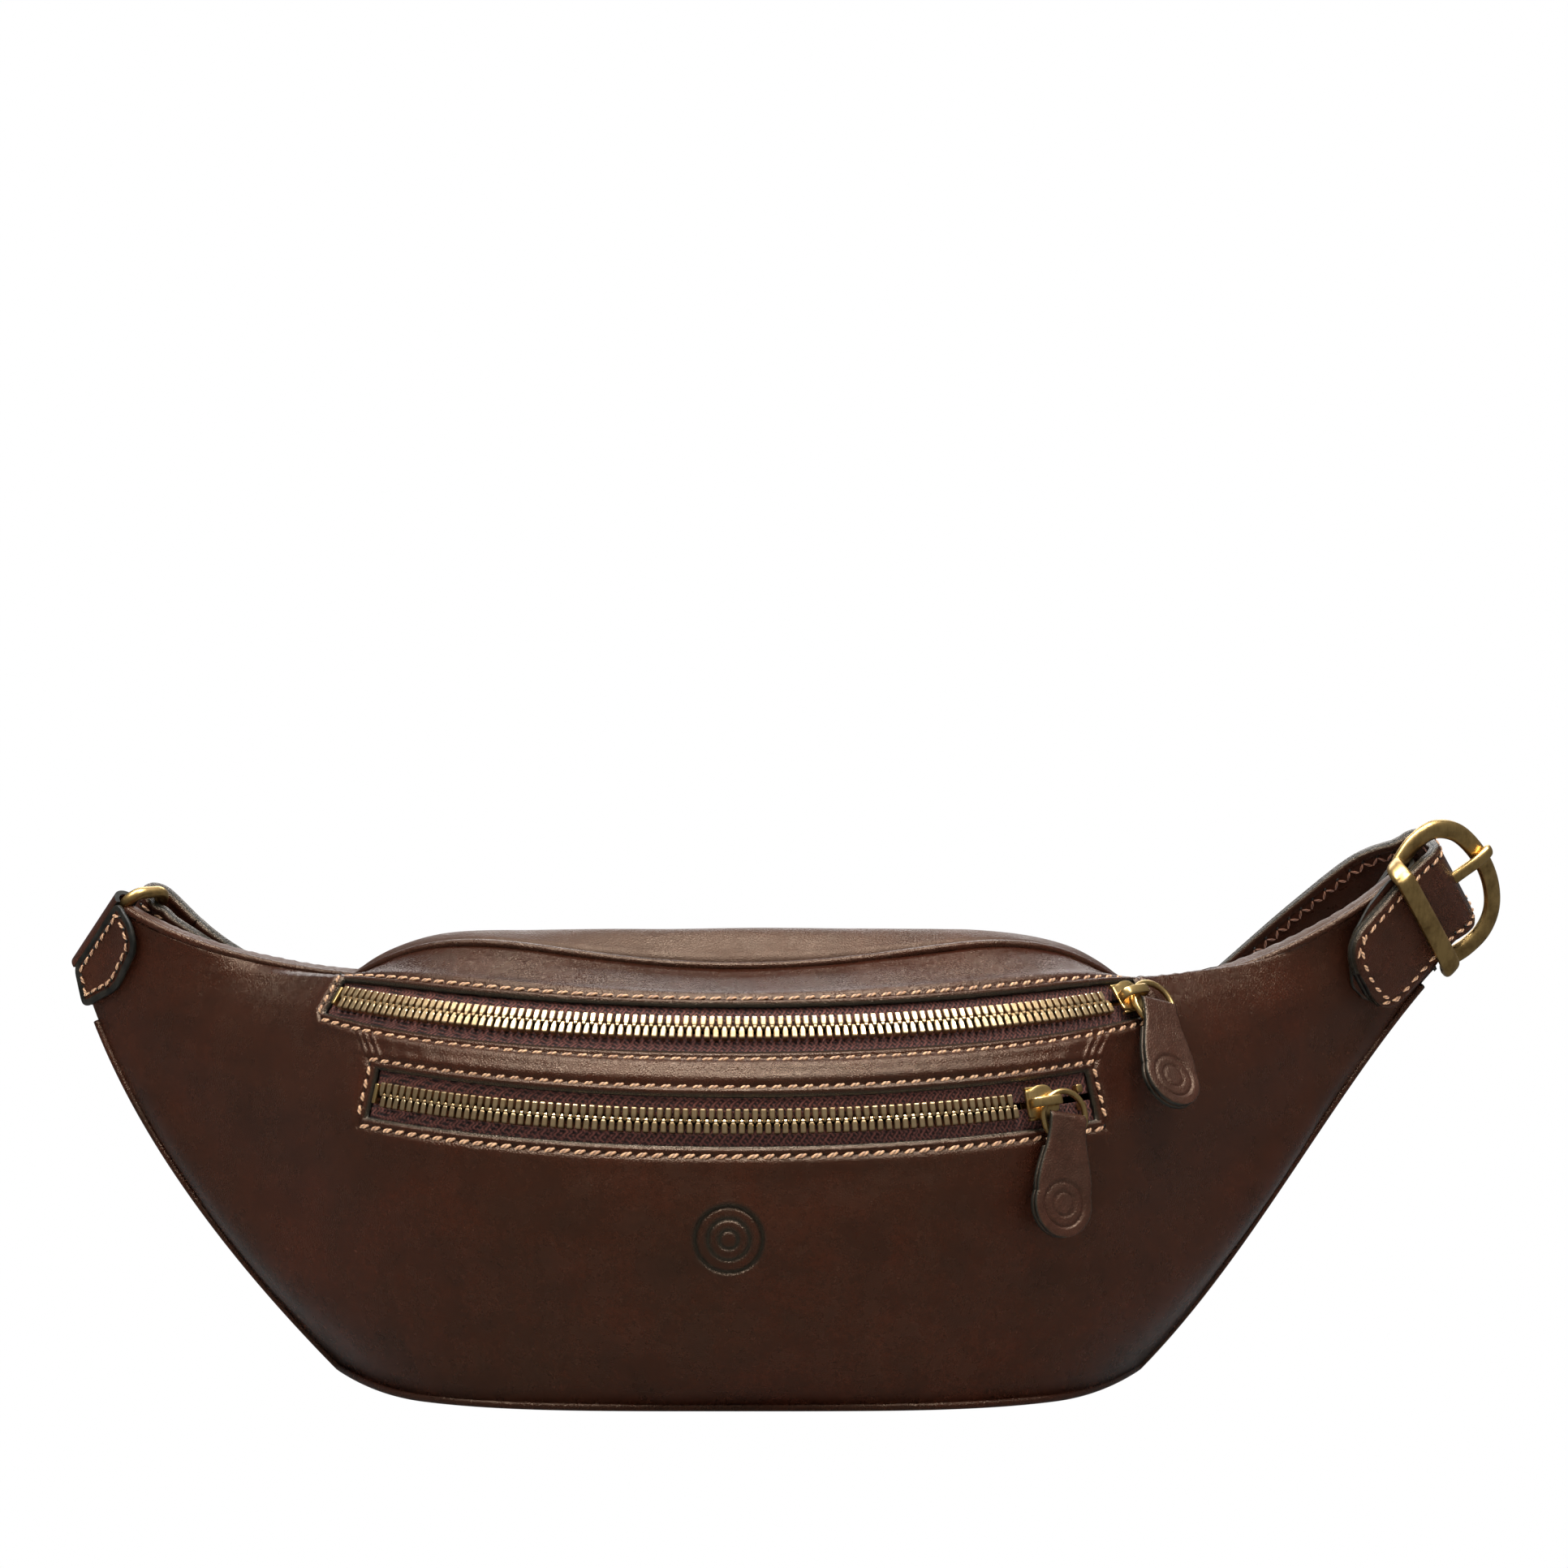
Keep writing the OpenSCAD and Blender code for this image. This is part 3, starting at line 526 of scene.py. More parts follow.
def leather(name, brown, red, dark, grain=1.0, gloss=0.24, paint=True):
    """Glazed leather: cloudy colour, pebble grain, creases, and dark colour where the edge attribute is 1:
    edge paint on cut edges, and painted shade in the grooves of the front's pressed mark.
    """
    n = Nodes(name)
    cloud = n.noise(22, 5, 0.6)
    patch = n.noise(60, 3, 0.5, n.stretched(1, 1, 1.6))
    colour = n.mix(n.range(cloud, 0.42, 0.68, 0, 0.5), brown, red)
    colour = n.mix(n.range(patch, 0.48, 0.72, 0, 0.4), colour, dark)
    pores = n.cells(1500 / grain)
    fine = n.cells(3300 / grain)
    creases = n.noise(340 / grain, 4, 0.6, n.stretched(0.8, 1, 1.9))
    mottle = n.noise(620 / grain, 3, 0.6)
    colour = n.mix(n.range(mottle, 0.30, 0.72, 0.38, 0.0), colour, dark)
    colour = n.mix(n.range(pores, 0.0, 0.2, 0.2, 0.0), colour, dark)
    rough = n.range(n.noise(130, 4, 0.6), 0.3, 0.7, gloss - 0.07, gloss + 0.1)
    if paint:
        # Edge paint on cut edges; on the front panel this attribute also paints shade into the pressed mark's
        # grooves.
        edge = n.attribute("edge")
        colour = n.mix(edge, colour, rgb(0.012, 0.011, 0.008))
        rough = n.math("ADD", n.math("MULTIPLY", edge, -0.08), rough)
    pits = n.range(pores, 0, 0.3, 0, 1)
    pricks = n.range(fine, 0, 0.35, 0, 1)
    n.bump((creases, 0.3, 0.0003), (mottle, 0.12, 0.0002), (pits, 0.35, 0.00018), (pricks, 0.2, 0.00008))
    return n.set(Base_Color=colour, Roughness=rough, Specular_IOR_Level=0.42, Specular_Tint=WARM_SHINE)


def edge_paint(name):
    """Black-green paint on a cut edge: smooth beads over leather fibres. The stitch holes use it as painted
    shade.
    """
    n = Nodes(name)
    beads = n.noise(900, 4, 0.6)
    worn = n.range(n.noise(260, 3), 0.35, 0.7, 0, 1)
    colour = n.mix(worn, rgb(0.004, 0.004, 0.003), rgb(0.016, 0.014, 0.010))
    n.bump((beads, 0.5, 0.00018))
    rough = n.range(beads, 0.3, 0.7, 0.36, 0.55)
    return n.set(Base_Color=colour, Roughness=rough, Specular_IOR_Level=0.25)


def brushed_brass(name, light, dark, rough):
    """Antique brass: brushed along its length, with brown patina in patches."""
    n = Nodes(name)
    lines = n.noise(900, 3, 0.6, n.stretched(1.0, 0.35, 0.12))
    patina = n.noise(170, 5, 0.65)
    colour = n.mix(n.range(patina, 0.44, 0.72, 0, 0.85), light, dark)
    colour = n.mix(n.range(lines, 0.45, 0.75, 0, 0.35), colour, dark)
    n.bump((lines, 0.18, 0.00006), (n.noise(520, 3), 0.08, 0.00008))
    level = n.range(patina, 0.35, 0.75, rough, rough + 0.16)
    return n.set(Base_Color=colour, Metallic=1.0, Roughness=level)


def woven(name, light, dark, pitch, ribbed=False):
    """Twill weave from two crossed sets of ribs, over the ribs of the mesh itself where it has them."""
    n = Nodes(name)
    ribs = n.node("TexWave", {"Vector": n.coords, "Scale": pitch, "Distortion": 0.6, "Detail": 2.0},
                  bands_direction="DIAGONAL").outputs["Fac"]
    weft = n.node("TexWave", {"Vector": n.stretched(1, 1, -1), "Scale": pitch * 0.8, "Distortion": 0.8},
                  bands_direction="DIAGONAL").outputs["Fac"]
    weave = n.math("MAXIMUM", n.math("MULTIPLY", ribs, 0.9), weft)
    fuzz = n.noise(2600, 3)
    colour = n.mix(n.range(weave, 0.15, 0.85, 0, 1), dark, light)
    colour = n.mix(n.range(n.noise(90), 0.4, 0.7, 0, 0.3), colour, dark)
    if ribbed:
        colour = n.mix(n.range(n.attribute("rib"), 0.15, 0.7, 0.9, 0), colour, dark)
    n.bump((weave, 0.7, 0.00025), (fuzz, 0.35, 0.0001))
    return n.set(Base_Color=colour, Roughness=0.75, Specular_IOR_Level=0.2, Sheen_Weight=0.02)


def thread(name, light, dark):
    """Waxed twisted thread, with painted shade in the grooves between its two plies."""
    n = Nodes(name)
    fibres = n.noise(4200, 3, 0.6)
    colour = n.mix(n.range(n.noise(420, 3), 0.38, 0.68, 0, 0.8), light, dark)
    colour = n.mix(n.range(fibres, 0.45, 0.75, 0, 0.45), colour, dark)
    ply_shade = n.attribute("ply_shade")
    # Painted shade: the thread goes dark in the grooves between its plies.
    colour = n.mix(n.range(ply_shade, 0.45, 0.95, 0, 1), colour, rgb(0.05, 0.022, 0.013))
    n.bump((fibres, 0.4, 0.00008))
    return n.set(Base_Color=colour, Roughness=0.58, Sheen_Weight=0.1)


BROWN = rgb(0.0205, 0.0062, 0.0031)
RED = rgb(0.0360, 0.0070, 0.0030)
DARK = rgb(0.0080, 0.0030, 0.0018)
HIDE = leather("hide", BROWN, RED, DARK)
BACK_HIDE = leather("back_hide", rgb(0.0240, 0.0080, 0.0042), RED, DARK, 1.25, 0.42, False)
STRAP_BROWN = rgb(0.028, 0.008, 0.0042)
STRAP_RED = rgb(0.042, 0.0095, 0.0045)
PULL_BROWN = rgb(0.028, 0.0100, 0.0062)
PULL_RED = rgb(0.042, 0.0130, 0.0080)
STRAP_HIDE = leather("strap_hide", STRAP_BROWN, STRAP_RED, DARK, 0.8, 0.28)
PULL_HIDE = leather("pull_hide", PULL_BROWN, PULL_RED, DARK, 1.3, 0.38)
PAINT = edge_paint("edge_paint")
BRASS = brushed_brass("brass", rgb(0.68, 0.47, 0.19), rgb(0.26, 0.16, 0.06), 0.26)
BUCKLE_BRASS = brushed_brass("buckle_brass", rgb(0.66, 0.44, 0.17), rgb(0.22, 0.13, 0.045), 0.30)
TEETH_BRASS = brushed_brass("teeth_brass", rgb(0.68, 0.49, 0.27), rgb(0.27, 0.17, 0.08), 0.27)
TAPE = woven("zip_tape", rgb(0.095, 0.030, 0.022), rgb(0.010, 0.0045, 0.004), 330, ribbed=True)
LINING = woven("lining", rgb(0.10, 0.05, 0.035), rgb(0.05, 0.024, 0.018), 190)
THREAD = thread("thread", rgb(0.46, 0.265, 0.135), rgb(0.22, 0.100, 0.045))
BACK_THREAD = thread("back_thread", rgb(0.30, 0.12, 0.06), rgb(0.12, 0.045, 0.025))
# The stitch holes take the near-black edge paint material as painted shade.
HOLE_SHADE = edge_paint("stitch_hole_shade")

# ---------------------------------------------------------------- stitches
STITCH_PITCH = 4.2
STITCH_R = 0.5
STITCH_LIFT = 0.1
STITCH_RINGS = 13
STITCH_SIDES = 10


def stitches(name, path, normals, body, pitch=STITCH_PITCH, slant=17.0, length=3.7, radius=STITCH_R,
             zigzag=False, ply=THREAD):
    """A saddle-stitched seam: one twisted two-ply thread for each stitch, and at each awl hole a near-black
    disc of painted shade.
    """
    spots, ns = resample(path, pitch, normals)
    t = directions(spots)
    n = unit(ns - np.sum(ns * t, 1, keepdims=True) * t)
    side = np.cross(n, t)
    ply_shades = []
    u = np.linspace(-1, 1, STITCH_RINGS)
    ang = np.linspace(0, 2 * math.pi, STITCH_SIDES, endpoint=False)
    parts = []
    for k, spot in enumerate(spots):
        tilt = math.radians(slant * (-1 if zigzag and k % 2 else 1) + RNG.uniform(-3, 3))
        along = t[k] * math.cos(tilt) + side[k] * math.sin(tilt)
        across = np.cross(n[k], along)
        half = length / 2 * RNG.uniform(0.95, 1.04)
        thick = radius * (1 - u ** 4 * 0.75)
        height = STITCH_LIFT + 0.42 * radius * (1 - u * u) - 0.75 * radius * u ** 4
        ply_wave = np.cos(2 * ang[None] + 5.5 * u[:, None])
        r = thick[:, None] * (1 + 0.22 * ply_wave)
        # 1 in the grooves between the plies, where the thread material paints shade.
        ply_shades.append((0.5 - 0.5 * ply_wave).ravel())
        ring = (spot + (half * u)[:, None, None] * along + (r * np.cos(ang))[..., None] * across
                + (r * np.sin(ang) * 0.85 + height[:, None])[..., None] * n[k])
        parts.append(bare(*ring_loft(list(ring))))
        # Painted shade: a near-black flat cone sits where the thread goes into its awl hole.
        hole = spot + (half + 0.2) * along
        disc = [hole + 0.72 * math.cos(f) * along + 0.46 * math.sin(f) * across + 0.05 * n[k] for f in ang]
        ply_shades.append(np.zeros(STITCH_SIDES + 1))
        cone = [(j, (j + 1) % STITCH_SIDES, STITCH_SIDES) for j in range(STITCH_SIDES)]
        cone.append(tuple(range(STITCH_SIDES)))
        parts.append((np.array(disc + [hole - 0.3 * n[k]]), cone, [1] * len(cone)))
    verts, faces, kinds = joined(parts)
    return make_mesh(name, verts, faces, [ply, HOLE_SHADE], body, mat_index=kinds,
                     attributes={"ply_shade": np.concatenate(ply_shades)})


# ---------------------------------------------------------------- body
LEATHER_T = 1.6
SEAM_LO = 1.4
SEAM_HI = 1.2
STITCH_IN = 2.7
MARK_A = -0.0211
MARK_V = 2.0
MARK_R = 9.0
MARK_RINGS = ((MARK_R, 1.1, 0.55), (0.62 * MARK_R, 0.9, 0.5), (2.5, 0.8, 0.5))
# Width of the painted shade laid along each groove of the pressed mark.
MARK_GROOVE_SHADE_WIDTH = 0.75


def edge_distance(p, v, a, lo, hi, left, right):
    """Distance in mm outside a slot's rectangle, negative inside it."""
    below = np.linalg.norm(p - front(np.full_like(a, lo), a), axis=-1) * np.sign(lo - v)
    above = np.linalg.norm(p - front(np.full_like(a, hi), a), axis=-1) * np.sign(v - hi)
    sides = np.maximum(left - a, a - right) * A_TO_MM
    return np.maximum(np.maximum(below, above), sides)


def seam_shape(d):
    """Height of the leather by its distance from a slot: rolled edge, sewn channel, soft pillow beyond."""
    rolled = -0.75 * bell(d, -0.1, 0.75)
    lip = 0.22 * bell(d, 1.35, 0.6)
    channel = -0.42 * bell(d, STITCH_IN, 0.62)
    pillow = 0.38 * bell(d, STITCH_IN + 2.2, 1.5)
    return rolled + lip + channel + pillow


def mark_distance(p):
    """Distance of front points from the centre of the pressed mark."""
    return np.linalg.norm(p - front(np.array([MARK_V]), np.array([MARK_A]))[0], axis=-1)


def front_height(p, v, a, pocket, main):
    soft = 0.55 * lumps(p, 42, 3.1) + 0.22 * lumps(p, 17, 8.7)
    near_top = ramp(v, 5.2, 6.2) * (1 - ramp(v, 6.35, 6.8))
    gather = bell(np.abs(a), 1.16, 0.17) * near_top * np.sin(a * A_TO_MM * 1.15 + 2 * lumps(p, 14, 5.0))
    bridge = bell(v, 4.5, 0.42) * np.maximum(bell(a, -0.80, 0.16), bell(a, 0.80, 0.14))
    band = bell(v, 4.5, 0.3) * (1 - ramp(np.abs(a), 0.7, 0.95))
    pinch = 0.20 * bridge * np.sin(a * A_TO_MM * 2.2 + 3 * lumps(p, 9, 1.0))
    mark = mark_distance(p)
    rings = -sum(depth * bell(mark, radius, width) for radius, depth, width in MARK_RINGS)
    disc = -0.28 * (1 - ramp(mark, MARK_R - 0.4, MARK_R + 0.6)) + 0.14 * bell(mark, MARK_R + 0.85, 0.5)
    lip = 0.5 * bell(v * 24, 2.0, 1.2) - 0.45 * bell(v * 24, 4.4, 0.9)
    return (soft * ramp(np.minimum(pocket, main), 3, 14) + 0.16 * gather + pinch + rings + disc
            + lip * (np.abs(a) < 1.7) + seam_shape(pocket) + seam_shape(main) + 0.9 * band)


def trimmed_grid(surface, v, a, lo, hi):
    """The surface's grid with its first and last rows moved in from the seams."""
    vv, aa = np.meshgrid(v, a)
    grid = surface(vv, aa)
    grid[:, 0] += lo * unit(grid[:, 2] - grid[:, 0])
    grid[:, -1] += hi * unit(grid[:, -3] - grid[:, -1])
    return grid, vv, aa


def front_panel():
    fine_mm = 0.45 / A_TO_MM
    near = 4.3 / A_TO_MM
    wide = 2.0 / A_TO_MM
    mark = 11.5 / A_TO_MM
    a = steps(-2, wide * 1.2, -1.35, wide, -1 - near, fine_mm, -1 + near, wide,
              POCKET_LEFT - near, fine_mm, POCKET_LEFT + near, wide,
              MARK_A - mark, fine_mm * 0.85, MARK_A + mark, wide,
              POCKET_RIGHT - near, fine_mm, POCKET_RIGHT + near, wide,
              1 - near, fine_mm, 1 + near, wide, 1.35, wide * 1.2, 2)
    for slot_end in (POCKET_LEFT, POCKET_RIGHT, -1, 1):
        a[np.argmin(np.abs(a - slot_end))] = slot_end
    v = steps(0, 0.2, 0.2, 0.035, 0.3, 0.09, 1.56, 0.015, 2.44, 0.08, 2.78, 0.018, 3, 0.14, 4,
              0.035, 4.36, 0.07, 4.66, 0.035, 5, 0.14, 6, 0.03, 6.36, 0.07, 6.7, 0.15, 7)
    grid, vv, aa = trimmed_grid(front, v, a, SEAM_LO, SEAM_HI)
    pocket = edge_distance(grid, vv, aa, 3, 4, POCKET_LEFT, POCKET_RIGHT)
    main = edge_distance(grid, vv, aa, 5, 6, -1, 1)
    n = normals_of(front, vv, aa, 7)
    outer = grid + col(front_height(grid, vv, aa, pocket, main)) * n
    inner = grid - LEATHER_T * n
    mid_v = (vv[:-1, :-1] + vv[1:, 1:]) / 2
    mid_a = (aa[:-1, :-1] + aa[1:, 1:]) / 2
    in_pocket = (mid_v > 3) & (mid_v < 4) & (mid_a > POCKET_LEFT) & (mid_a < POCKET_RIGHT)
    in_main = (mid_v > 5) & (mid_v < 6) & (mid_a > -1) & (mid_a < 1)
    verts, faces, kinds = shell(outer, inner, in_pocket | in_main)
    nearest = np.minimum(pocket, main)
    edge = 1 - ramp(nearest, 0.25, 1.15)
    # Painted shade: each groove of the pressed mark is darkened through the edge attribute.
    mark_gap = mark_distance(grid)
    for radius, _, _ in MARK_RINGS:
        edge = np.maximum(edge, bell(mark_gap, radius, MARK_GROOVE_SHADE_WIDTH))
    edge = np.concatenate([edge.ravel(), np.zeros(edge.size)])
    make_mesh("front_leather", verts, faces, [HIDE, PAINT], "bag", ("front_panel",), kinds,
              attributes={"edge": edge})


def back_panel():
    a = np.linspace(-2, 2, 230)
    v = steps(0, 0.3, 0.3, 0.07, 2, 0.06, 3.7, 0.3, 4)
    grid, vv, aa = trimmed_grid(back, v, a, SEAM_HI, SEAM_LO)
    n = normals_of(back, vv, aa, 4)
    height = 0.7 * lumps(grid, 45, 12.0) + 0.25 * lumps(grid, 15, 2.0)
    fold = 0.22 * ramp(np.abs(aa), 1.0, 1.15) * bell(vv, 1.4, 0.7) * np.sin(aa * A_TO_MM * 0.9)
    quiet = ramp(vv, 0.05, 0.6) * (1 - ramp(vv, 3.5, 3.95)) * (1 - ramp(np.abs(aa), 1.75, 1.95))
    outer = grid + col((height + fold) * quiet) * n
    verts, faces, kinds = shell(outer, grid - LEATHER_T * n)
    make_mesh("back_leather", verts, faces, [BACK_HIDE, PAINT], "bag", ("back_panel",), kinds)


def base_gusset():
    """The flat base and the narrow sides that run up under the wings to the tips."""
    a = np.linspace(-2, 2, 200)
    f, b = row(0, a), row(11, a)
    across = unit(b - f)
    share = np.linspace(0, 1, 14)
    lo, hi = f + 1.0 * across, b - 1.0 * across
    grid = lo[:, None] + share[None, :, None] * (hi - lo)[:, None]
    t = directions(f)
    down = unit(np.cross(across, t))
    down = np.where(down[:, 2:] > 0, -down, down)
    level = ramp(np.abs(a), 0.7, 1.05)[:, None]
    down = unit(np.array([0, 0, -1.0]) * (1 - level) + down * level)
    raised = 0.5 * np.sin(math.pi * share)[None, :, None] * level[..., None]
    grid = grid - down[:, None] * (raised + 0.25) - np.array([0, 0, 0.7]) * (1 - level[..., None])
    verts, faces, kinds = shell(grid, grid - 1.6 * down[:, None])
    make_mesh("base_leather", verts, faces, [BACK_HIDE, PAINT], "bag", ("base_gusset",), kinds)


def wing_end(side):
    """The folded leather that closes the tip between front and back."""
    s = np.linspace(0, 1, 24)
    f = front(7 * s, np.full(24, 2.0 * side))
    b = back(4 * (1 - s), np.full(24, 2.0 * side))
    out = unit(row(3, np.array([2.0 * side])) - row(3, np.array([1.95 * side])))[0]
    across = np.linspace(0, 1, 8)
    grid = f[:, None] + across[None, :, None] * (b - f)[:, None]
    grid = grid + out * (0.9 * np.sin(math.pi * across))[None, :, None]
    verts, faces, kinds = shell(grid, grid - 1.2 * out)
    name = "wing_end_left" if side < 0 else "wing_end_right"
    make_mesh(name, verts, faces, [HIDE, PAINT], "bag", (), kinds)


def top_piping():
    a = np.linspace(-1.99, 1.99, 420)
    path = row(7, a)
    radius = 1.3 - 0.3 * np.maximum(0, np.abs(a) / 1.95 - 0.5)
    wobble = 0.05 * lumps(path, 9, 4.0)
    rings = sweep_rings(path, (0, 0, 1.0), lambda i: oval(radius[i] + wobble[i], radius[i] + wobble[i], 14))
    verts, faces = ring_loft(rings)
    make_mesh("piping", verts, faces, [HIDE], "bag", ("top_piping",))


def bottom_welt():
    a = np.linspace(-1.95, 1.95, 400)
    path = row(0, a) + np.array([0, 0, 0.35])
    rings = sweep_rings(path, (0, 0, 1.0), oval(1.1, 1.1, 12))
    verts, faces = ring_loft(rings)
    make_mesh("welt", verts, faces, [HIDE], "bag", ("bottom_welt",))


def slot_line(v_edge, direction, a):
    """v of the seam, STITCH_IN outside a slot's edge."""
    near = np.linalg.norm(front(np.full_like(a, v_edge + 0.1 * direction), a)
                          - front(np.full_like(a, v_edge), a), axis=-1) / 0.1
    return v_edge + direction * STITCH_IN / near


def slot_stitches(name, lo, hi, left, right, close_right):
    gap_a = STITCH_IN / A_TO_MM
    a = np.linspace(left - gap_a, right + gap_a, 300)
    low_v, high_v = slot_line(lo, -1, a), slot_line(hi, 1, a)
    ends = [("left", a[0], low_v[0], high_v[0])]
    if close_right:
        ends.append(("right", a[-1], low_v[-1], high_v[-1]))
    for label, v in (("lower", low_v), ("upper", high_v)):
        n = normals_of(front, v, a, 7)
        stitches(f"{name}_{label}_stitching", front(v, a) - 0.35 * n, n, "bag")
    for label, at, v0, v1 in ends:
        v = np.linspace(v0 + 0.12, v1 - 0.12, 30)
        aa = np.full(30, at)
        n = normals_of(front, v, aa, 7)
        stitches(f"{name}_{label}_stitching", front(v, aa) - 0.3 * n, n, "bag", 3.4, 16, 2.8, 0.5)


# ---------------------------------------------------------------- zips
TOOTH_PITCH = 2.3
TAPE_DEPTH = LEATHER_T + 0.2


def tape(name, v0, v1, a0, a1):
    columns = int((a1 - a0) * A_TO_MM / 0.3)
    a = np.linspace(a0, a1, columns)
    v = np.linspace(v0, v1, 20)
    vv, aa = np.meshgrid(v, a)
    n = normals_of(front, vv, aa, 7)
    along = aa * A_TO_MM
    across = (vv - v0) * 14
    zigzag = np.where(across % 2.4 < 1.2, across, -across)
    rib = np.sin(2 * math.pi * (along / 1.25 + zigzag / 1.2))
    weave = 0.11 * rib
    rib = np.concatenate([rib.ravel(), rib.ravel()]) * 0.5 + 0.5
    surface = front(vv, aa)
    verts, faces, _ = shell(surface - col(TAPE_DEPTH - weave) * n, surface - (TAPE_DEPTH + 0.5) * n)
    make_mesh(name + "_woven", verts, faces, [TAPE], "bag", (name,), attributes={"rib": rib})


TOOTH_W = (3.35, 3.2, 2.9, 1.2, 0.75, 0.45, 0.0, -0.38)
TOOTH_HALF = (0.60, 0.73, 0.76, 0.74, 0.66, 0.50, 0.50, 0.36)
TOOTH_TOP = (0.10, 0.34, 0.42, 0.44, 0.42, 0.34, 0.32, 0.08)


def teeth(name, arc, phi0, phi1, up):
    """One row of cast teeth, each waisted in the middle, with a round head and a domed leg."""
    pitch = math.degrees(TOOTH_PITCH / ZIP_R)
    count = int((phi1 - phi0) / pitch)
    parts = []
    for k in range(count + 1):
        phi = phi0 + (k + (0 if up > 0 else 0.5)) * pitch
        t, w, n = arc.t(phi), arc.w(phi), arc.n(phi)
        p = arc.at(phi)
        lean = RNG.uniform(-0.03, 0.03)
        rings = []
        for s, half, top in zip(TOOTH_W, TOOTH_HALF, TOOTH_TOP):
            section = ((-half, -1.5), (-half, top - 0.2), (-half * 0.72, top), (half * 0.72, top),
                       (half, top - 0.2), (half, -1.5))
            rings.append(np.array([p + (x + lean * s) * t + s * up * w + z * n for x, z in section]))
        parts.append(bare(*ring_loft(rings)))
    verts, faces, _ = joined(parts)
    make_mesh(name + "_cast", verts, faces, [TEETH_BRASS], "bag", (name,), smooth_faces=False)


def zip_axes(arc, phi):
    return arc.at(phi), arc.t(phi), arc.w(phi), arc.n(phi)


def zip_stops():
    stop = rounded([(-0.6, -2.7), (0.6, -2.7), (0.6, 2.7), (-0.6, 2.7)], 0.4)
    v, f, k = plate(stop, -1.6, 0.5, 0.25)
    verts = placed(v, *zip_axes(MAIN, -45.3))
    make_mesh("main_stop_cast", verts, f, [BRASS], "bag", ("main_zip_stop",))
    top = rounded([(-1, -1.1), (1, -1.1), (1, 1.1), (-1, 1.1)], 0.5)
    tv, tf, tk = plate(top, -1.6, 0.6, 0.3)
    parts = [(placed(v, *zip_axes(POCKET, -39.35)), f, k)]
    for side in (-1, 1):
        shifted = tv + np.array([0, side * 2.4, 0])
        parts.append((placed(shifted, *zip_axes(POCKET, 36.6)), tf, tk))
    verts, faces, _ = joined(parts)
    make_mesh("pocket_stops_cast", verts, faces, [BRASS], "bag", ("pocket_zip_stops",))


SLIDER_OUTLINE = ((-5.1, 0), (-5.1, -3.7), (-3.2, -3.75), (-2.2, -4.35), (-0.6, -4.85), (1.2, -4.8),
                  (2.6, -4.3), (3.4, -3.1), (5.0, -2.3), (5.0, 0))
BRIDGE = ((-4.0, 0.7), (-4.25, 2.2), (-4.15, 3.5), (-3.4, 4.35), (-1.6, 4.6), (0, 4.65), (1.6, 4.6),
          (3.4, 4.35), (4.1, 3.5), (4.15, 2.2), (3.9, 0.7))


def slider(name, arc, phi, body):
    """Cast slider: scalloped top plate with a wide nose, flanges, back plate and a flat oval bridge."""
    half = list(SLIDER_OUTLINE)
    outline = half + [(x, -y) for x, y in reversed(half) if y]
    parts = [plate(rounded(outline, 0.8, 4), 0.5, 1.35, 0.22, crown=0.1)]
    low = [(-4.6, -3.6), (2.6, -4.2), (4.6, -2.0), (4.6, 2.0), (2.6, 4.2), (-4.6, 3.6)]
    parts.append(plate(rounded(low, 0.8, 4), -3.5, -2.8, 0.2))
    post = [(2.0, -0.6), (4.4, -0.6), (4.4, 0.6), (2.0, 0.6)]
    parts.append(plate(rounded(post, 0.3, 3), -3.2, 0.8, 0.1))
    for side in (-1, 1):
        flange = [(-4.6, side * 4.15 - 0.4), (2.0, side * 4.15 - 0.4), (2.0, side * 4.15 + 0.4),
                  (-4.6, side * 4.15 + 0.4)]
        parts.append(plate(rounded(flange, 0.3, 3), -0.6, 0.7, 0.15))
    path = smooth([(x, 0, z) for x, z in BRIDGE], 5)
    rings = sweep_rings(path, (0, 1.0, 0), oval(0.6, 1.3, 16, 4.0))
    parts.append(bare(*ring_loft(rings)))
    verts, faces, _ = joined(parts)
    verts = placed(verts, *zip_axes(arc, phi))
    obj = make_mesh(name + "_cast", verts, faces, [BRASS], body, (name,))
    flat_shaded_edges(obj)


def flat_shaded_edges(obj, angle=38):
    """Sharp edges stay crisp while round parts stay smooth."""
    mesh = obj.data
    bm = bmesh.new()
    bm.from_mesh(mesh)
    limit = math.radians(angle)
    for e in bm.edges:
        e.smooth = len(e.link_faces) == 2 and e.calc_face_angle(0) < limit
    bm.to_mesh(mesh)
    bm.free()


RING_R = 6.65
RING_WIRE = 0.85
RING_N = 3.0
RING_SHIFT = 4.9
RING_DROP = math.sqrt(RING_R ** 2 - RING_SHIFT ** 2)
PULL_LEN = 33.0
PULL_R = 8.9
PULL_CENTRE = -(PULL_LEN - PULL_R)
PULL_RINGS = ((6.1, 0.45, 0.36), (3.2, 0.38, 0.34))


class Hang:
    """Axes of the ring and pull that hang from one slider."""

    def __init__(self, arc, phi, tilt, turn):
        t, w, n = arc.t(phi), arc.w(phi), arc.n(phi)
        tilt, turn = math.radians(tilt), math.radians(turn)
        self.t = t
        self.d = -w * math.cos(tilt) - n * math.sin(tilt)
        self.n = n * math.cos(tilt) - w * math.sin(tilt)
        self.c = arc.at(phi, 0, RING_N) + RING_SHIFT * t + RING_DROP * self.d
        self.pull_d = math.cos(turn) * self.d + math.sin(turn) * t
        self.pull_x = np.cross(self.n, self.pull_d)


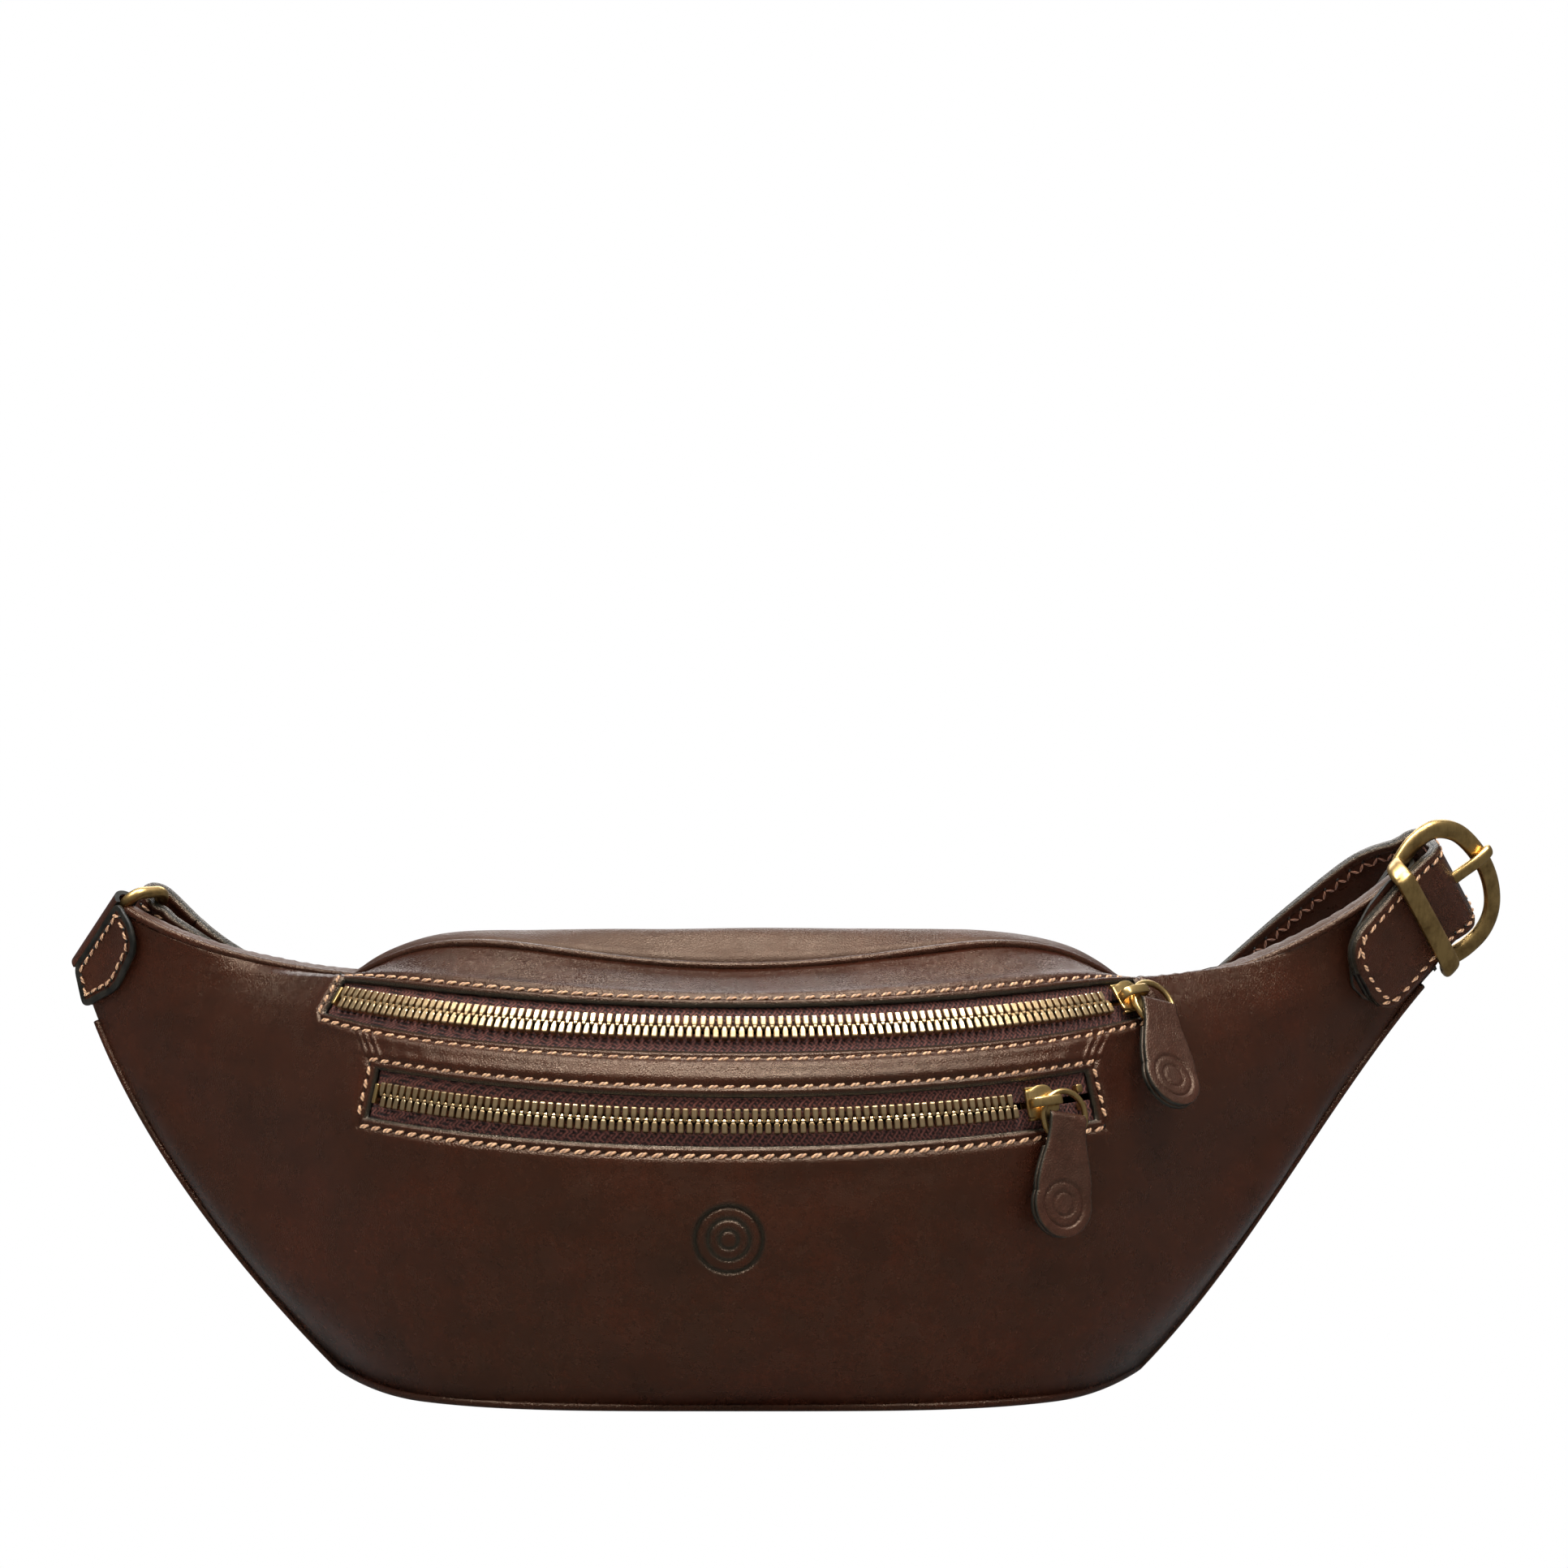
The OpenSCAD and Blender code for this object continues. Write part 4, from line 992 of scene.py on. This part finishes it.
def slider_ring(name, hang, body):
    f = np.linspace(0, 2 * math.pi, 96, endpoint=False)
    path = hang.c + RING_R * (np.cos(f)[:, None] * hang.t + np.sin(f)[:, None] * hang.d)
    verts, faces = ring_loft(sweep_rings(path, hang.n, oval(RING_WIRE, RING_WIRE, 18), True), True)
    make_mesh(name + "_wire", verts, faces, [BRASS], body, (name,))


def pull_half_width(y):
    """Half width of the leather pull at y, 0 at the fold and -33 at its round end."""
    neck = 5.45 + 2.9 * ramp(-y, 3, 20)
    circle = np.sqrt(np.maximum(0.0, PULL_R ** 2 - (y - PULL_CENTRE) ** 2))
    return np.where(y < PULL_CENTRE + 3.2, circle, np.minimum(neck + 0.15, PULL_R))


def pull_leaf(z0, z1, y0, y1, marked):
    """One leather leaf of the pull as a closed shell, with its ring marks pressed in."""
    u = np.sin(np.linspace(-math.pi / 2, math.pi / 2, 53))
    s = np.linspace(0, 1, 95)
    y = y0 + (y1 - y0) * (1 - (1 - s) ** 1.6)
    half = np.maximum(pull_half_width(y), 0.05)
    x = u[None] * half[:, None]
    yy = np.broadcast_to(y[:, None], x.shape)
    rim = np.minimum((1 - np.abs(u[None])) * half[:, None], (y - y1)[:, None])
    round_off = -0.34 * np.exp(-np.maximum(rim, 0) / 0.35)
    height = z1 + round_off + 0 * x
    if marked:
        r = np.hypot(x, yy - PULL_CENTRE)
        height = height - sum(depth * bell(r, radius, width) for radius, depth, width in PULL_RINGS)
        height = height - 0.14 * (1 - ramp(r, 5.8, 6.5))
        crumple = np.stack([x / 2.6, yy / 3.2, 0 * x], -1)
        height = height + 0.09 * lumps(crumple, 1.0, 6.0) * ramp(r, 6.3, 8.5)
        height = height - 1.5 * (1 - ramp(-yy, -0.9, 0.9)) ** 2
    low = z0 - round_off * 0.6 + 0 * x
    verts, faces, kinds = shell(np.stack([x, yy, height], -1), np.stack([x, yy, low], -1))
    edge = 1 - ramp(rim, 0.05, 0.45)
    return verts, faces, kinds, np.concatenate([edge.ravel(), edge.ravel()])


FOLD_X = 1.1
PULL_FOLD = ((-1.6, 2.0), (-0.3, 1.9), (0.25, 0.9), (-0.1, -0.5), (-1.4, -1.25), (-4.5, -1.4), (-8.4, -1.35),
             (-10.4, -0.6))


def pull(name, hang, body):
    axes = (hang.c, hang.pull_x, -hang.pull_d, hang.n)
    verts, faces, kinds, edge = pull_leaf(1.35, 2.85, 0.7, -PULL_LEN, True)
    make_mesh(name + "_front_leaf", placed(verts, *axes), faces, [PULL_HIDE, PAINT], body, (name,),
              kinds, attributes={"edge": edge})
    verts, faces, kinds, edge = pull_leaf(-0.2, 1.25, -RING_R - 2.3, -PULL_LEN, False)
    make_mesh(name + "_back_leaf", placed(verts, *axes), faces, [PULL_HIDE, PAINT], body, (), kinds,
              attributes={"edge": edge})
    path = smooth([(FOLD_X, y, z) for y, z in PULL_FOLD], 6)
    strip = rounded([(-1.8, -0.38), (1.8, -0.38), (1.8, 0.38), (-1.8, 0.38)], 0.3, 3)
    rings = sweep_rings(path, (0, 0.2, 1.0), strip)
    verts, faces = ring_loft(rings)
    make_mesh(name + "_fold", placed(verts, *axes), faces, [PULL_HIDE], body)


# ---------------------------------------------------------------- left end: tab and ring
LOOP_C = np.array([-178.9, 70.1, 123.5])
LOOP_B = unit((0.508, -0.507, 0.695))
LOOP_E = np.array([0.689, 0.725, 0.025])
LOOP_E = unit(LOOP_E - (LOOP_E @ LOOP_B) * LOOP_B)
LOOP_O = np.cross(LOOP_E, LOOP_B)
LOOP_HALF = 16.8
LOOP_DEPTH = 13.0
LOOP_CORNER = 4.2
LOOP_WIRE = 1.7
FOLD_R = 2.6
TAB_T = 1.45


def half_tube(r0, r1, y0, y1):
    """Leather bent half round a bar along y, open towards -x."""
    f = np.linspace(-math.pi / 2, math.pi / 2, 22)
    y = np.linspace(y0, y1, 16)
    ff, yy = np.meshgrid(f, y)
    outer = np.stack([r1 * np.cos(ff), yy, r1 * np.sin(ff)], -1)
    inner = np.stack([r0 * np.cos(ff), yy, r0 * np.sin(ff)], -1)
    return shell(outer, inner)


def ring_tab():
    axes = (LOOP_C, -LOOP_O, LOOP_B, -LOOP_E)
    leaf = rounded([(0.3, -13.7), (0.3, 13.7), (-8.6, 13.2), (-14.6, 9.5), (-16.8, -5), (-10.6, -19.4)], 3.0)
    back_leaf = rounded([(0.3, -13.7), (0.3, 11.5), (-4, 10), (-5.5, -11)], 1.0)
    parts = [half_tube(FOLD_R, FOLD_R + TAB_T, -13.7, 13.7), plate(leaf, FOLD_R, FOLD_R + TAB_T, 0.4, 1.5),
             plate(back_leaf, -FOLD_R - TAB_T, -FOLD_R, 0.3)]
    verts, faces, kinds = joined(parts)
    obj = make_mesh("ring_tab_leather", placed(verts, *axes), faces, [STRAP_HIDE, PAINT], "bag",
                    ("ring_tab",), kinds)
    flat_shaded_edges(obj, 50)
    line = inset(leaf, 3.0)
    keep = line[line[:, 0] < -2.0]
    loop = np.column_stack([keep, np.full(len(keep), FOLD_R + TAB_T)])
    loop = placed(loop, *axes)
    loop = np.concatenate([loop, loop[:1]])
    stitches("ring_tab_stitching", loop, np.broadcast_to(-LOOP_E, loop.shape), "bag", 3.3, 12, 2.6, 0.38)


def loop_corner(q, f):
    """Direction from the middle of the ring's corner q to its wire, f into the bend."""
    c, s = math.cos(f), math.sin(f)
    sign = -1 if q < 2 else 1
    return sign * (c * LOOP_B - s * LOOP_E if q % 2 else c * LOOP_E + s * LOOP_B)


def strap_ring():
    path = []
    for q in range(4):
        centre = (LOOP_C + (LOOP_CORNER if q in (0, 3) else LOOP_DEPTH - LOOP_CORNER) * LOOP_E
                  + (-1 if q < 2 else 1) * (LOOP_HALF - LOOP_CORNER) * LOOP_B)
        path += [centre + LOOP_CORNER * loop_corner(q, math.radians(9 * k)) for k in range(11)]
    path = np.array(path)
    verts, faces = ring_loft(sweep_rings(path, LOOP_O, oval(LOOP_WIRE, LOOP_WIRE, 20), True), True)
    make_mesh("strap_ring_wire", verts, faces, [BUCKLE_BRASS], "strap_ring", ("strap_ring",))


# ---------------------------------------------------------------- right end: buckle
BK_N = unit((0.625, -0.771, -0.122))
BK_P = np.array([0.633, 0.408, 0.658])
BK_P = unit(BK_P - (BK_P @ BK_N) * BK_N)
BK_K = np.cross(BK_P, BK_N)
BK_0 = np.array([190.4, 71.65, 128.0])
BAR_P = 6.3
BAR_N = -2.25
BAR_ENDS = (-14.5, 22)
BALL_R = 1.9
LEAF_T = 1.0
BUCKLE_WIRE = 1.75
D_PATH = ((6.3, -14.5, -2.25), (13, -16.4, -1.2), (20.5, -15.4, 0.4), (26.2, -9, 1.6), (28.8, 1.5, 2.0),
          (28.4, 11, 1.8), (25.2, 18.6, 1.2), (19.5, 22.6, 0.3), (12.5, 23.4, -1.2), (6.3, 22, -2.25))
KEEPER_PATH = ((6.3, -14.5, -2.25), (3.2, -17.4, 0.5), (0.6, -18.6, 4.0), (-0.8, -17.6, 7.0),
               (-1.2, -14.6, 8.1), (-1.2, 0, 8.2), (-1.2, 14.0, 8.1), (-0.8, 17.4, 7.0), (0.6, 19.2, 4.0),
               (3.2, 20.6, 0.5), (6.3, 22, -2.25))
PRONG_K = 1.0
PRONG_PATH = ((7.8, -0.9), (12, 0.0), (17, 1.2), (21, 2.6), (25.5, 4.3), (29.5, 5.0), (31.6, 4.2))


def buckle(points_pkn):
    return placed(np.asarray(points_pkn, float), BK_0, BK_P, BK_K, BK_N)


def buckle_tab():
    """Leather folded round the buckle's bar, slotted for the prong, sewn to the front of the wing."""
    r0, r1 = FOLD_R + 0.25, FOLD_R + 0.25 + TAB_T
    top = BAR_N + r1
    outline = [(BAR_P, -13.5), (-2, -16.6), (-12, -16), (-21.5, -13.2), (-26, -8.2), (-29.6, -1), (-28, 5.5),
               (-20.5, 14.6), (-14.5, 16.4), (-2, 17.0), (BAR_P, 15.5)]
    slotted = outline + [(BAR_P, 4.6), (1.2, 4.6), (1.2, -2.6), (BAR_P, -2.6)]
    leaf = rounded(slotted, 1.6, 5)
    back_outline = [(BAR_P, -13.5), (-4, -12), (-6, 0), (-4, 14), (BAR_P, 15.5), (BAR_P, 4.6), (1.2, 4.6),
                    (1.2, -2.6), (BAR_P, -2.6)]
    parts = []
    for y0, y1 in ((-13.5, -2.6), (4.6, 15.5)):
        v, f, k = half_tube(r0, r1, y0, y1)
        parts.append((v + np.array([BAR_P, 0, BAR_N]), f, k))
    parts.append(plate(leaf, top - LEAF_T, top, 0.3))
    parts.append(plate(rounded(back_outline, 0.6, 3), BAR_N - r1, BAR_N - r0, 0.25))
    verts, faces, kinds = joined(parts)
    obj = make_mesh("buckle_tab_leather", buckle(verts), faces, [STRAP_HIDE, PAINT], "bag",
                    ("buckle_tab",), kinds)
    flat_shaded_edges(obj, 50)


def buckle_frame():
    d = smooth(buckle(D_PATH), 10)
    keeper = smooth(buckle(KEEPER_PATH), 9)
    flat = np.sin(np.linspace(0, math.pi, len(keeper))) ** 0.8
    bar = buckle([(BAR_P, k, BAR_N) for k in np.linspace(*BAR_ENDS, 12)])
    sweeps = [sweep_rings(d, BK_N, oval(BUCKLE_WIRE + 0.95, BUCKLE_WIRE, 22, 2.3)),
              sweep_rings(keeper, BK_P, lambda i: oval(1.7 - 0.3 * flat[i], 1.8 + 1.3 * flat[i], 22, 2.8)),
              sweep_rings(bar, BK_N, oval(1.7, 1.7, 20))]
    turn = np.linspace(0.05, math.pi - 0.05, 9)
    radii = BALL_R * np.sin(turn)
    for k in BAR_ENDS:
        ball = [(BAR_P, k + BALL_R * math.cos(f), BAR_N) for f in turn]
        sweeps.append(sweep_rings(buckle(ball), BK_N, lambda i: oval(radii[i], radii[i], 18)))
    verts, faces, _ = joined([bare(*ring_loft(rings)) for rings in sweeps])
    make_mesh("buckle_frame_cast", verts, faces, [BUCKLE_BRASS], "buckle_frame", ("buckle_frame",))


def buckle_prong():
    path = smooth(buckle([(p, PRONG_K, n) for p, n in PRONG_PATH]), 6)
    last = len(path) - 1
    size = [1.3 * (1 - 0.4 * max(0, i - last + 4) / 4) for i in range(last + 1)]
    shaft = ring_loft(sweep_rings(path, BK_N, lambda i: oval(size[i] * 1.4, size[i], 16, 2.4)))
    curl = [(BAR_P + 2.35 * math.cos(f), PRONG_K, BAR_N + 2.35 * math.sin(f))
            for f in np.linspace(0, 2 * math.pi, 30, endpoint=False)]
    eye = ring_loft(sweep_rings(buckle(curl), BK_K, oval(0.55, 1.6, 14, 3), True), True)
    verts, faces, _ = joined([bare(*shaft), bare(*eye)])
    make_mesh("buckle_prong_cast", verts, faces, [BUCKLE_BRASS], "buckle_prong", ("buckle_prong",))


# ---------------------------------------------------------------- strap
STRAP_IN = unit((0.88, 0.10, -0.57))
STRAP_SIDE = np.cross(STRAP_IN, LOOP_B)
REAR_BAR = LOOP_C + LOOP_DEPTH * LOOP_E
WRAP_R = 4.6
STRAP_HALF = 14.0
STRAP_N = 3.95
TIP_P = -18.0
TIP_K = -0.8
# The strap's surfaces lie 1.81 from its middle layer. Threads lie a little into them.
FACE_OUT = 1.66
FACE_BACK = 1.72
SEAM_IN = 2.2
BACK_SEAM_IN = 3.6
TIP_SEAM_R = 11.6
TIP_SEAM_TURN = 0.62 * math.pi
# The back seams leave out this many points of the route at the left ring's wrap and at the strap's tip.
WRAP_POINTS = 126
TAIL_POINTS = 63
TIP_STEPS = ((-1.2, 0.998), (-2.5, 0.985), (-3.8, 0.96), (-5, 0.925), (-6.1, 0.88), (-7.1, 0.82),
             (-8.0, 0.735), (-8.8, 0.62), (-9.4, 0.47), (-9.75, 0.3))
STRAP_MID = ((-136, 88, 98), (-112, 102, 70), (-75, 118, 40), (-38, 124.5, 20), (0, 126, 14.5),
             (35, 124.5, 19), (70, 118.5, 40), (105, 110, 66), (140, 102, 96), (166, 97, 120),
             (182, 95, 133.5))
STRAP_FRONT = ((17.0, 3.2, -15.4), (21.2, 3.2, -12.8), (22.6, 3.2, -9.2), (21.4, 3.2, -5.8),
               (19.2, 2.9, -2.6), (17.0, 2.3, 0.2), (14.4, 1.4, 2.5), (11.2, 0.4, 3.7), (7, -0.5, STRAP_N),
               (0, TIP_K, STRAP_N), (-8, TIP_K, STRAP_N), (-15, TIP_K, STRAP_N), (TIP_P, TIP_K, STRAP_N))


def strap_route():
    """Points, width directions and layer normals of the whole strap, from the left ring to the tip."""
    turn = [(WRAP_R * math.cos(f), WRAP_R * math.sin(f)) for f in np.radians(np.linspace(60, 300, 7))]
    flat = [(20, 5.5), (12, 5.4), (6, 5.2)] + turn + [(6, -2.6), (12, -0.4), (20, 1.3)]
    wrap = [REAR_BAR + d * STRAP_IN + u * STRAP_SIDE for d, u in flat]
    mid = [np.array(p, float) for p in STRAP_MID]
    path = np.array(wrap + mid + list(buckle(STRAP_FRONT)))
    ups = [LOOP_B] * len(wrap)
    level = np.array([0, -0.05, 1])
    for i in range(len(mid)):
        u = (i + 1) / (len(mid) + 1)
        end, k = (LOOP_B, (1 - 2 * u) ** 1.3) if u < 0.5 else (-BK_K, (2 * u - 1) ** 1.3)
        ups.append(unit(end * k + level * (1 - k)))
    ups += [-BK_K] * len(STRAP_FRONT)
    fine, fine_ups = smooth(path, 9), smooth(np.array(ups), 9)
    t = directions(fine)
    w = unit(fine_ups - np.sum(fine_ups * t, 1, keepdims=True) * t)
    half = np.full(len(fine), STRAP_HALF)
    tip = buckle([(TIP_P + s, TIP_K, STRAP_N) for s, _ in TIP_STEPS])
    fine = np.concatenate([fine, tip])
    w = np.concatenate([w, np.broadcast_to(-BK_K, tip.shape)])
    n = np.concatenate([np.cross(w[:len(t)], t), np.broadcast_to(BK_N, tip.shape)])
    half = np.concatenate([half, STRAP_HALF * np.array([k for _, k in TIP_STEPS])])
    return fine, w, n, half


ROUTE, ROUTE_W, ROUTE_N, ROUTE_HALF = strap_route()


def strap_layer(name, node, base, top, crown):
    """One layer: rounded painted edges, a pressed line by each edge, and a slight crown."""
    share = np.array([1, 1, 0.985, 0.95, 0.875, 0.845, 0.815, 0.5])
    share = np.concatenate([-share, [0], share[::-1]])
    height = np.array([0.15, 0.62, 0.86, 0.97, 1.0, 0.86, 1.0, 1.0 + 0.6 * crown])
    height = np.concatenate([height, [1.0 + crown], height[::-1]])
    wave = 0.10 * lumps(ROUTE, 24, 1.5)
    flat = ROUTE[:, None] + (ROUTE_HALF[:, None] * share)[..., None] * ROUTE_W[:, None]
    outer = flat + ((top - base) * height + base + wave[:, None])[..., None] * ROUTE_N[:, None]
    inner = flat + base * ROUTE_N[:, None]
    verts, faces, kinds = shell(outer, inner)
    edge = np.broadcast_to(1 - ramp(1 - np.abs(share), 0.0, 0.03), outer.shape[:2])
    edge = np.concatenate([edge.ravel(), edge.ravel()])
    make_mesh(name, verts, faces, [STRAP_HIDE, PAINT], "bag", (node,), kinds,
              attributes={"edge": edge})


def strap_stitching():
    last = len(ROUTE) - 3
    middle = slice(WRAP_POINTS, len(ROUTE) - TAIL_POINTS)
    for label, side in (("upper", 1), ("lower", -1)):
        line = ROUTE[:last] + (side * (ROUTE_HALF[:last] - SEAM_IN))[:, None] * ROUTE_W[:last]
        outer = line + FACE_OUT * ROUTE_N[:last]
        stitches(f"strap_{label}_stitching", outer, ROUTE_N[:last], "bag", STITCH_PITCH, 12 * side, 3.2, 0.42)
        line = ROUTE[middle] + side * (STRAP_HALF - BACK_SEAM_IN) * ROUTE_W[middle]
        inner = line - FACE_BACK * ROUTE_N[middle]
        stitches(f"strap_{label}_back_stitching", inner, -ROUTE_N[middle], "bag", 2.2, 45, 2.9, 0.32,
                 zigzag=True, ply=BACK_THREAD)
    tip = []
    for turn in np.linspace(-TIP_SEAM_TURN, TIP_SEAM_TURN, 24):
        if math.cos(turn) > 0:
            p = TIP_P - 0.2 - 7.2 * math.cos(turn) ** 0.8
            k = TIP_K + TIP_SEAM_R * math.sin(turn) / math.sin(TIP_SEAM_TURN)
            tip.append((p, k, STRAP_N + FACE_OUT))
    tip = buckle(tip)
    stitches("strap_tip_stitching", tip, np.broadcast_to(BK_N, tip.shape), "bag", 4.0, 12, 3.0, 0.42)


# ---------------------------------------------------------------- stage
WORLD_LIGHT = 0.16
SKY_LIGHT = 1.9
SKY_SHINE = 1.2


def stage():
    bpy.ops.mesh.primitive_plane_add(size=8, location=(0, 0, -0.0005))
    floor = bpy.context.object
    floor.name = "floor"
    n = Nodes("floor_white")
    white = n.set(Base_Color=rgb(0.94, 0.94, 0.94), Roughness=0.9, Specular_IOR_Level=0.0)
    floor.data.materials.append(white)
    floor.visible_glossy = False
    floor.visible_camera = False
    world = bpy.data.worlds.new("studio")
    bpy.context.scene.world = world
    world.use_nodes = True
    tree = world.node_tree
    soft = tree.nodes["Background"]
    soft.inputs["Strength"].default_value = WORLD_LIGHT
    backdrop = tree.nodes.new("ShaderNodeBackground")
    for shade in (soft, backdrop):
        shade.inputs["Color"].default_value = (1, 1, 1, 1)
    seen = tree.nodes.new("ShaderNodeLightPath")
    pick = tree.nodes.new("ShaderNodeMixShader")
    tree.links.new(seen.outputs["Is Camera Ray"], pick.inputs[0])
    tree.links.new(soft.outputs[0], pick.inputs[1])
    tree.links.new(backdrop.outputs[0], pick.inputs[2])
    tree.links.new(pick.outputs[0], tree.nodes["World Output"].inputs["Surface"])
    bpy.context.scene.view_settings.view_transform = "Standard"


def add_light(data, name, place, aim):
    light = bpy.data.objects.new(name, data)
    light.location = place
    light.rotation_euler = (Vector(aim) - Vector(place)).to_track_quat("-Z", "Y").to_euler()
    bpy.context.collection.objects.link(light)
    return light


def softbox(name, place, size, power):
    data = bpy.data.lights.new(name, "AREA")
    data.shape = "RECTANGLE"
    data.size, data.size_y = size
    data.energy = power
    add_light(data, name, place, (0, 0, 0.07))


def lights():
    for name, power, shines in (("sky", SKY_LIGHT, False), ("sky_shine", SKY_SHINE, True)):
        sky = bpy.data.lights.new(name, "SUN")
        sky.energy = power
        sky.angle = math.radians(60)
        add_light(sky, name, (-0.1, -0.25, 1.0), (0, 0, 0)).visible_glossy = shines
    for name, x in (("front_left", -0.72), ("front_right", 0.72)):
        softbox(name, (x, -0.60, 1.38), (0.42, 0.30), 12)
    softbox("top", (0.0, -0.15, 1.4), (1.3, 0.14), 30)
    softbox("back_rim", (0.1, 1.2, 0.9), (1.2, 0.4), 8)


CAMERA_AIM = (0.0, 0.0, 0.060)
CAMERA_FAR = 1.5
CAMERA_RISE = math.radians(5)


def camera():
    data = bpy.data.cameras.new("camera")
    data.lens = 127.0
    data.sensor_width = 36.0
    data.shift_x = 0.029
    data.shift_y = 0.252
    cam = bpy.data.objects.new("camera", data)
    back_dir = Vector((0, -math.cos(CAMERA_RISE), math.sin(CAMERA_RISE)))
    cam.location = Vector(CAMERA_AIM) + CAMERA_FAR * back_dir
    cam.rotation_euler = (-back_dir).to_track_quat("-Z", "Y").to_euler()
    bpy.context.collection.objects.link(cam)
    bpy.context.scene.camera = cam


# ---------------------------------------------------------------- build
front_panel()
back_panel()
base_gusset()
wing_end(-1)
wing_end(1)
top_piping()
bottom_welt()
slot_stitches("main_slot", 5, 6, -1, 1, False)
slot_stitches("pocket_slot", 3, 4, POCKET_LEFT, POCKET_RIGHT, True)

tape("main_tape_upper", 5.57, 6.14, -1.03, 1.03)
tape("main_tape_lower", 4.78, 5.43, -1.03, 1.03)
tape("pocket_tape_upper", 3.57, 4.22, POCKET_LEFT - 0.04, POCKET_RIGHT + 0.04)
tape("pocket_tape_lower", 2.86, 3.43, POCKET_LEFT - 0.04, POCKET_RIGHT + 0.04)
MAIN_PHI = 43.6
POCKET_PHI = 31.6
teeth("main_teeth_upper", MAIN, -44.6, 40.8, 1)
teeth("main_teeth_lower", MAIN, -44.6, 40.4, -1)
teeth("pocket_teeth_upper", POCKET, -38.6, 28.8, 1)
teeth("pocket_teeth_lower", POCKET, -38.6, 28.4, -1)
zip_stops()
for prefix, arc, phi, turn in (("main", MAIN, MAIN_PHI, -21.5), ("pocket", POCKET, POCKET_PHI, -14.5)):
    hanging = Hang(arc, phi, 3.5, turn)
    slider(prefix + "_slider", arc, phi, prefix + "_slider")
    slider_ring(prefix + "_slider_ring", hanging, prefix + "_ring")
    pull(prefix + "_pull", hanging, prefix + "_pull")

ring_tab()
strap_ring()
buckle_tab()
buckle_frame()
buckle_prong()
strap_layer("strap_outer_leather", "strap_outer", 0.06, 1.81, 0.06)
strap_layer("strap_lining_leather", "strap_lining", -0.06, -1.81, 0.03)
strap_stitching()

for node_name in ("main_lining", "pocket_lining"):
    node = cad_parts[node_name]
    node.data.materials.clear()
    node.data.materials.append(LINING)

stage()
lights()
camera()
